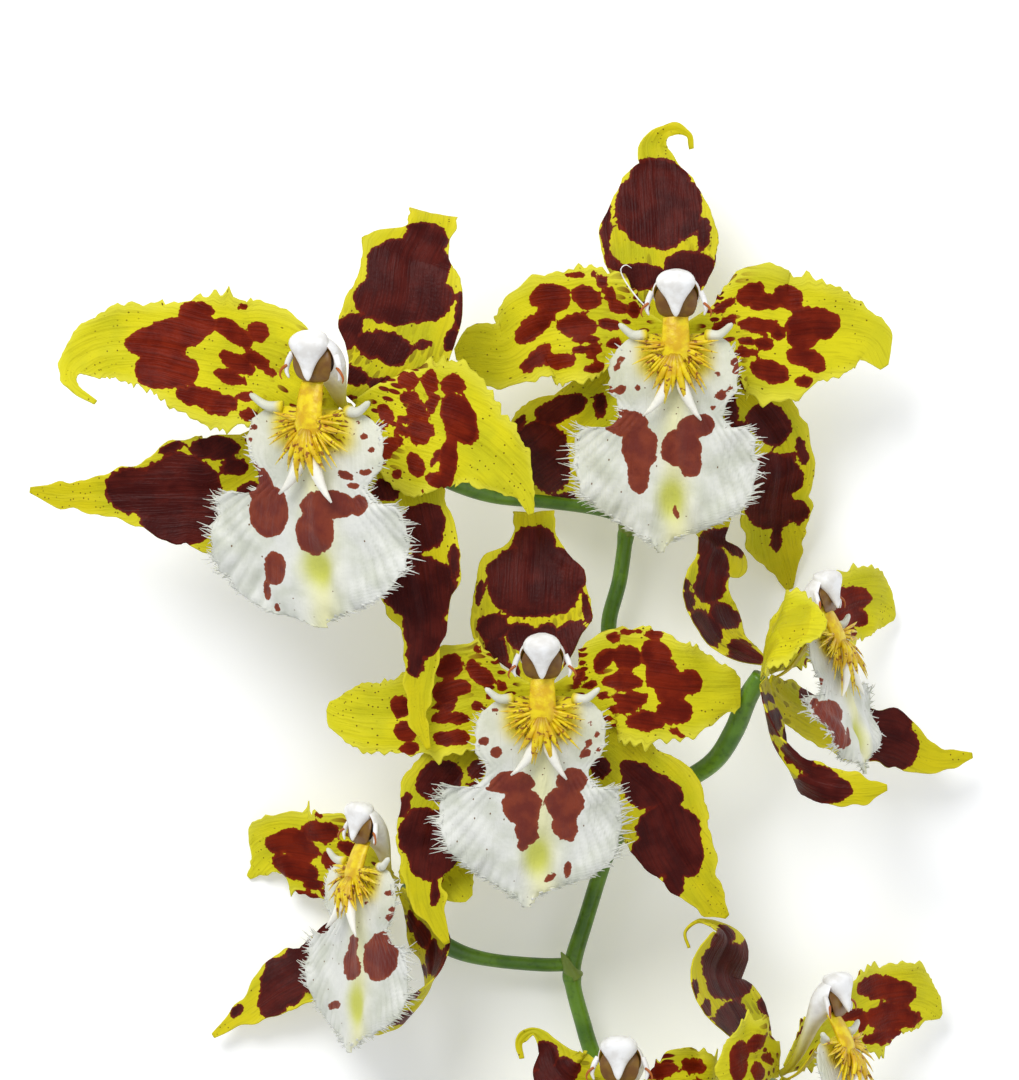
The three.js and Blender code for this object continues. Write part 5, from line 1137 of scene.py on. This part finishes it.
# The column: ovals from its foot to the rim of the hood and back inside it (up, forward, half-width,
# half-height), the cap from its crown to its beak and the face under it (up, forward, radius), its wings,
# hooks and thread (right, up, forward), and which of them are made: name, side, radius and tone.
column = {
    "outside": [
        (0.3, -0.4, 0.8, 0.8), (0.9, 2.6, 1.1, 1), (2.2, 5.8, 2, 1.7), (4.2, 8.8, 3.2, 2.4),
        (6.2, 11.4, 4.4, 3.4), (7.4, 13.6, 4.7, 4.1), (7.7, 15.4, 4.8, 4.2), (7.7, 16.1, 4.6, 4),
    ],
    "inside": [(7.6, 15.9, 4.3, 3.7), (7.3, 15, 4, 3.3), (6.9, 13.6, 3.2, 2.4), (6.6, 13, 0.4, 0.3)],
    "hood": 2,
    "cap": [
        (12.4, 14.8, 0.8), (12, 16, 2.6), (11, 17, 3.7), (9.8, 17.6, 3.9), (8.6, 17.9, 3.2),
        (7.4, 18, 2.3), (6.2, 18, 1.6), (5, 18, 1.1), (4, 18, 0.7), (3.3, 17.9, 0.25),
    ],
    "face": [
        (10.4, 15, 1.4), (9, 15.8, 3.4), (7.6, 16.2, 4.1), (6, 16.4, 4.2), (4.6, 16.3, 3.9),
        (3.4, 16, 3.1), (2.9, 15.8, 1),
    ],
    "wing": [(4.8, 8, 15.6), (5.6, 6.2, 16), (5.9, 4.6, 16), (5.5, 3.3, 15.8)],
    "hook": [(5.5, 5.8, 16.4), (6.5, 5, 16.7), (7, 3.9, 16.6), (6.7, 3, 16.4)],
    "thread": [
        (-5.8, 4.6, 15.6), (-8, 7, 15.6), (-10.2, 10.2, 15.6), (-11, 12.4, 15.8), (-10, 13.4, 16),
        (-8.8, 12.8, 16.4),
    ],
    "threads": [
        ("thread", 1, 0.16, 0), ("wing", 1, 0.62, 0), ("wing", -1, 0.62, 0), ("hook", 1, 0.3, 0.45),
        ("hook", -1, 0.3, 0.45),
    ],
}


# The place of a column's points: the whole column leans a little, the more the further it stands out.
def leaning(bloom, right, up, forward):
    share = smoothStep(np.asarray(forward, float), 3, 14)
    lean = bloom["columnLean"]
    return inBloom(bloom, right + lean[0] * share, lifted(bloom, up, forward) + lean[1] * share, forward)


# The column: ovals that swell from its foot to the rim of the hood and turn back inside, the rim leaning
# over at the top, then the cap with its beak, the olive face under it, a wing and a hook at each side, and
# in one bloom a thread from the left wing.
def columnParts(bloom):
    t = np.linspace(0, 1, 46)
    values = curveThrough(column["outside"] + column["inside"], t)[0]
    angle = np.linspace(0, 2 * np.pi, 40, endpoint=False)[None, :]
    near = (smoothStep(t, 0.35, 0.62) * (1 - 0.6 * smoothStep(t, 0.75, 0.95)))[:, None]
    rings = leaning(
        bloom, values[:, 2:3] * np.cos(angle), values[:, 0:1] + values[:, 3:4] * np.sin(angle),
        values[:, 1:2] + column["hood"] * near * np.sin(angle),
    )
    inner = smoothStep(t, 0.64, 0.69)[:, None] * np.ones_like(angle)
    # Painted shade: how far the inside of the hood darkens to brown, growing further in.
    deep = smoothStep(t, 0.7, 0.95)[:, None] * np.ones_like(angle)
    foot = 1 - smoothStep(t, 0.1, 0.42)[:, None] * np.ones_like(angle)
    parts = [shell(rings, {"inner": inner, "deep": deep, "foot": foot})]
    for name, bulge, tone in (("cap", 0.75, 0), ("face", 0.2, 1)):
        values = curveThrough(column[name], np.linspace(0, 1, 22))[0]
        rings = leaning(
            bloom, values[:, 2:3] * np.cos(angle), values[:, 0:1] + 0.2 * values[:, 2:3] * np.sin(angle),
            values[:, 1:2] + bulge * values[:, 2:3] * np.sin(angle),
        )
        tint = np.full(rings.shape[:2], float(tone))
        # The face under the cap takes half of that painted shade.
        parts.append(shell(rings, {"inner": tint, "deep": 0.5 * tint}))
    threads = column["threads"] if bloom.get("thread") else column["threads"][1:]
    for name, side, radius, tone in threads:
        stations = [(side * right, up, forward) for right, up, forward in column[name]]
        path = curveThrough(stations, np.linspace(0, 1, 14))[0]
        radii = radius * bloom["size"] * np.sqrt(np.clip((1.06 - np.linspace(0, 1, 14)) / 0.8, 0, 1))
        parts.append(tubes(leaning(bloom, *path.T)[None], radii[None], 8, {"inner": tone}))
    return parts


# The brown of the hood's depth is painted shade.
columnLook = {
    "white": "#f0efeb", "whiteDark": "#dedbd4", "foot": "#c3b82a", "olive": "#8e7218", "oliveDark":
    "#664a0e", "deep": "#6a3c0a", "hooks": "#a8560a",
}


# The column: waxy white from a yellow foot, olive inside the hood darkening to brown deeper in as painted
# shade, and orange hooks.
def columnFinish():
    board = Board("waxyColumn")
    inner = board.mark("inner")
    white = board.mottled(3.0, 0.4, 0.65, columnLook["white"], columnLook["whiteDark"])
    white = board.blend(board.mark("foot"), white, columnLook["foot"])
    olive = board.mottled(2.0, 0.35, 0.65, columnLook["olive"], columnLook["oliveDark"])
    # Painted shade: the olive darkens to brown deeper inside the hood.
    olive = board.blend(board.step(board.mark("deep"), 0.1, 0.8), olive, columnLook["deep"])
    colour = board.blend(board.step(inner, 0.2, 0.4), white, columnLook["hooks"])
    colour = board.blend(board.step(inner, 0.5, 0.9), colour, olive)
    roughness = 0.4 + (board.cloud(1.6) - 0.5) * 0.15
    return board.finish(colour, roughness, board.cloud(0.9, 2.0), 0.12, Specular_IOR_Level=0.45)


# The stalk and one footstalk with its ovary for each bloom (x, y, z and radius), and the bracts at the
# nodes (foot, tip, radius). The stalk swells a little at each node.
stem = {
    "rachis": [
        (25, -216, 2.6, 2.6), (24.4, -190, 4.6, 2.5), (24, -168, 6, 2.4), (22, -150, 7, 2.35),
        (19.6, -136, 7.6, 2.3), (17.8, -124, 8, 2.1), (18, -110, 8, 1.9), (15.4, -100, 8, 1.8),
        (13, -91, 8, 1.75), (13, -85.6, 8, 1.9), (15.6, -77, 8.4, 1.75), (19, -66, 8.8, 1.75),
        (22, -57.6, 9, 1.85), (22.4, -40, 9.4, 1.7), (21, -26, 9.6, 1.7), (20.2, -17, 9.8, 1.7),
        (22.4, -8, 10, 1.65), (23.8, 2, 10, 1.6), (24.4, 5.4, 10, 1.5),
    ],
    "footstalks": {
        "a": [
            (24.2, 4.6, 10, 1.4), (17, 6.4, 15, 1.4), (8, 7.6, 21.4, 1.4), (-4, 9, 29, 1.6),
            (-14, 13, 36, 2), (-23, 19, 40.6, 2.2), (-30, 24.6, 47, 2),
        ],
        "b": [
            (24.2, 3.4, 10, 1.4), (26.4, 12, 11, 1.4), (29, 22, 13, 1.6), (31.4, 31, 17.4, 2.1),
            (33, 37.4, 22, 2.1), (33.4, 40.7, 26, 2),
        ],
        "c": [
            (21.6, -37, 9.4, 1.4), (18.6, -35, 15, 1.4), (14, -33.6, 22, 1.6), (10, -32.4, 28, 2.1),
            (7.2, -31.4, 33, 2.1), (6.8, -31.2, 36.2, 2),
        ],
        "d": [
            (21.8, -57, 9.2, 1.5), (28, -53, 15, 1.9), (34, -49.4, 21, 2), (41, -44.6, 26, 2.1),
            (45, -38.4, 29.6, 2.2), (47.6, -31.8, 32.4, 2.2), (50.3, -27.1, 34.7, 1.9),
        ],
        "e": [
            (12.6, -86.4, 8, 1.5), (6, -86.4, 8.6, 1.5), (-4, -85.4, 9, 1.5), (-11, -83.4, 10, 1.8),
            (-16.6, -79.6, 11.6, 2.1), (-19.4, -74.6, 15.2, 2.1), (-20.5, -70.3, 19, 1.7),
        ],
        "f": [
            (19.6, -136, 7.8, 1.4), (27, -133, 14, 1.6), (35, -128.6, 21, 1.9), (43.6, -122.4, 27, 2.1),
            (48.4, -115, 31.6, 2.2), (52.2, -107.9, 34.6, 1.9),
        ],
        "g": [
            (17.8, -126, 8, 1.4), (17.6, -122, 13, 1.5), (18.6, -118, 19, 1.9), (21, -114.6, 25, 2.1),
            (22.4, -113, 30.2, 2),
        ],
    },
    "bracts": [
        ((13.2, -89, 8), (10.4, -83.6, 10.4), 2), ((21.8, -60.4, 9), (25, -54.8, 11), 2),
        ((21.6, -40, 9.4), (20, -34.4, 11.8), 1.9), ((24, 1, 10), (22, 7.6, 11.6), 1.8),
        ((18, -128.4, 7.8), (16.4, -121.6, 10.4), 2.2), ((20.2, -139.4, 7.4), (23.2, -132.6, 10), 2.4),
        ((24.2, -183, 5), (21, -171, 8.6), 2.7),
    ],
    "sides": 24, "rachisRings": 260, "footstalkRings": 60, "radiusShare": 0.94, "swelling": 0.16,
    "swellingLength": 1.3,
}


# A round stalk through points with a radius, swollen a little at its nodes.
def stalkPart(stations, steps, nodes=()):
    t = np.linspace(0, 1, steps)
    values = curveThrough(stations, t)[0]
    swelling = np.ones(steps)
    for node in nodes:
        swelling += stem["swelling"] * np.exp(-(((values[:, 1] - node) / stem["swellingLength"]) ** 2))
    return tubes(values[None, :, :3], (values[:, 3] * swelling * stem["radiusShare"])[None], stem["sides"])


# A bract: a cone round the stalk at its foot, drawn out to a point by a power of the way along.
def bractPart(foot, tip, radius):
    foot, tip = np.array(foot, float), np.array(tip, float)
    along = unit(tip - foot)
    first = unit(np.cross(np.array([0.31, 0.17, 1]), along))
    second = np.cross(along, first)
    count, sides = 22, 24
    s = np.linspace(0, 0.97, count)[:, None, None]
    angle = np.linspace(0, 2 * np.pi, sides, endpoint=False)[None, :, None]
    reach = radius * (1 - s) ** 0.8
    rings = foot + (tip - foot) * s + (first * np.cos(angle) + second * np.sin(angle)) * reach
    share = np.repeat(np.linspace(0, 1, count)[:, None], sides, 1)
    return shell(rings, {"share": share, "bract": np.ones((count, sides))})


stemLook = {
    "green": "#628a1c", "greenDark": "#436a10", "streaks": "#26400a", "bracts": "#7f8a36",
}


# The stem: green with darker streaks along it and paler bracts.
def stemFinish():
    board = Board("greenStem")
    green = board.mottled(9.0, 0.35, 0.65, stemLook["green"], stemLook["greenDark"])
    green = board.blend(board.step(board.cloud(1.2, 4.0), 0.5, 0.7) * 0.35, green, stemLook["streaks"])
    colour = board.blend(board.mark("bract") * 0.6, green, stemLook["bracts"])
    roughness = 0.38 + (board.cloud(2.0) - 0.5) * 0.15
    return board.finish(colour, roughness, board.cloud(0.8, 3.0), 0.15, Specular_IOR_Level=0.5)


# The table is measured in metres from its middle to its edge.
floor = {"half": 1.5, "glow": 0.2, "white": "#f6f6f5", "whiteDark": "#f1f1f0"}


# The table: a pale grey white that glows a little, so that the shadows on it stay soft.
def floorFinish():
    board = Board("paleTable")
    colour = board.mottled(60.0, 0.3, 0.7, floor["white"], floor["whiteDark"])
    return board.finish(colour, 0.75 + (board.cloud(8.0) - 0.5) * 0.1, Emission_Strength=floor["glow"])


# A flat square table with its top at height zero.
def makeTable(half):
    mesh = bpy.data.meshes.new("table")
    corners = [(-half, -half, 0), (half, -half, 0), (half, half, 0), (-half, half, 0)]
    mesh.from_pydata(corners, [], [(0, 1, 2, 3)])
    mesh.materials.append(floorFinish())
    table = bpy.data.objects.new("table", mesh)
    bpy.context.scene.collection.objects.link(table)


# The lights' places and sizes are in mm, their powers in watts.
light = {
    "keyPlace": (-330, 620, 900), "keySize": 560, "keyPower": 8, "fillPlace": (700, -200, 700),
    "fillSize": 900, "fillPower": 2, "skyColour": "#f1f5ff", "skyStrength": 0.64,
}


# An area light at a place in mm that looks at the middle of the blooms.
def makeLight(name, place, size, power):
    lamp = bpy.data.lights.new(name, "AREA")
    lamp.shape = "DISK"
    lamp.size = size * metresPerMm
    lamp.energy = power
    item = bpy.data.objects.new(name, lamp)
    item.location = [part * metresPerMm for part in place]
    item.rotation_euler = (-item.location).to_track_quat("-Z", "Y").to_euler()
    bpy.context.scene.collection.objects.link(item)


# An even light from all round.
def makeSky():
    world = bpy.data.worlds.new("studio")
    world.use_nodes = True
    background = world.node_tree.nodes["Background"]
    background.inputs["Color"].default_value = paint(light["skyColour"])
    background.inputs["Strength"].default_value = light["skyStrength"]
    bpy.context.scene.world = world


# The camera looks straight down on the middle of the photographed part of the stem, in mm.
camera = {"middle": (0, 0), "focusHeight": 35, "distance": 1500, "viewHeight": 216, "sensor": 24}


# The camera straight above: its focal length is the sensor's height times the distance over the height it
# sees.
def makeCamera():
    lens = bpy.data.cameras.new("photographer")
    lens.sensor_fit = "VERTICAL"
    lens.sensor_height = camera["sensor"]
    lens.lens = camera["sensor"] * camera["distance"] / camera["viewHeight"]
    lens.clip_end = 10
    item = bpy.data.objects.new("photographer", lens)
    middle = np.array([*camera["middle"], camera["focusHeight"] + camera["distance"]]) + tableShift
    item.location = middle * metresPerMm
    bpy.context.scene.collection.objects.link(item)
    bpy.context.scene.camera = item


# Every piece, bloom by bloom, then the stem. A blade's random seed comes from its node's name, the seed of
# a lip or crest from the bloom's letter.
finishes = {
    "petal": blotchedFinish("blotchedPetal", petalLook), "sepal": blotchedFinish("blotchedSepal", sepalLook),
    "lip": lipFinish(), "crest": crestFinish(), "column": columnFinish(), "stem": stemFinish(),
}
print("finishes ready")

for letter, bloom in blooms.items():
    start = f"bloom_{letter}_"
    for blade in ("dorsal_sepal", "left_petal", "right_petal", "left_lateral_sepal", "right_lateral_sepal"):
        node = start + blade
        kind = blade.replace("left_", "").replace("right_", "")
        slot = "petal" if kind == "petal" else "sepal"
        seed = sum(ord(mark) * (place + 1) for place, mark in enumerate(node))
        makePiece(node + "_blade", node, slot, [tepalPart(bloom, bloom[blade], bladeKinds[kind], seed)])
    seed = ord(letter)
    makePiece(start + "fringed_lip", start + "lip", "lip", lipPart(bloom, seed))
    makePiece(start + "golden_crest", start + "crest", "crest", crestParts(bloom, seed))
    makePiece(start + "hooded_column", start + "column", "column", columnParts(bloom))
    print("bloom", letter, "made")

stalks = [stalkPart(stem["rachis"], stem["rachisRings"], [row[0][1] for row in stem["bracts"]])]
stalks += [stalkPart(stations, stem["footstalkRings"]) for stations in stem["footstalks"].values()]
stalks += [bractPart(*row) for row in stem["bracts"]]
makePiece("green_stem", "stem", "stem", stalks)
print("stem made")

makeTable(floor["half"])
makeLight("key", light["keyPlace"], light["keySize"], light["keyPower"])
makeLight("fill", light["fillPlace"], light["fillSize"], light["fillPower"])
makeSky()
makeCamera()
bpy.context.scene.view_settings.view_transform = "Standard"
print("stage ready")
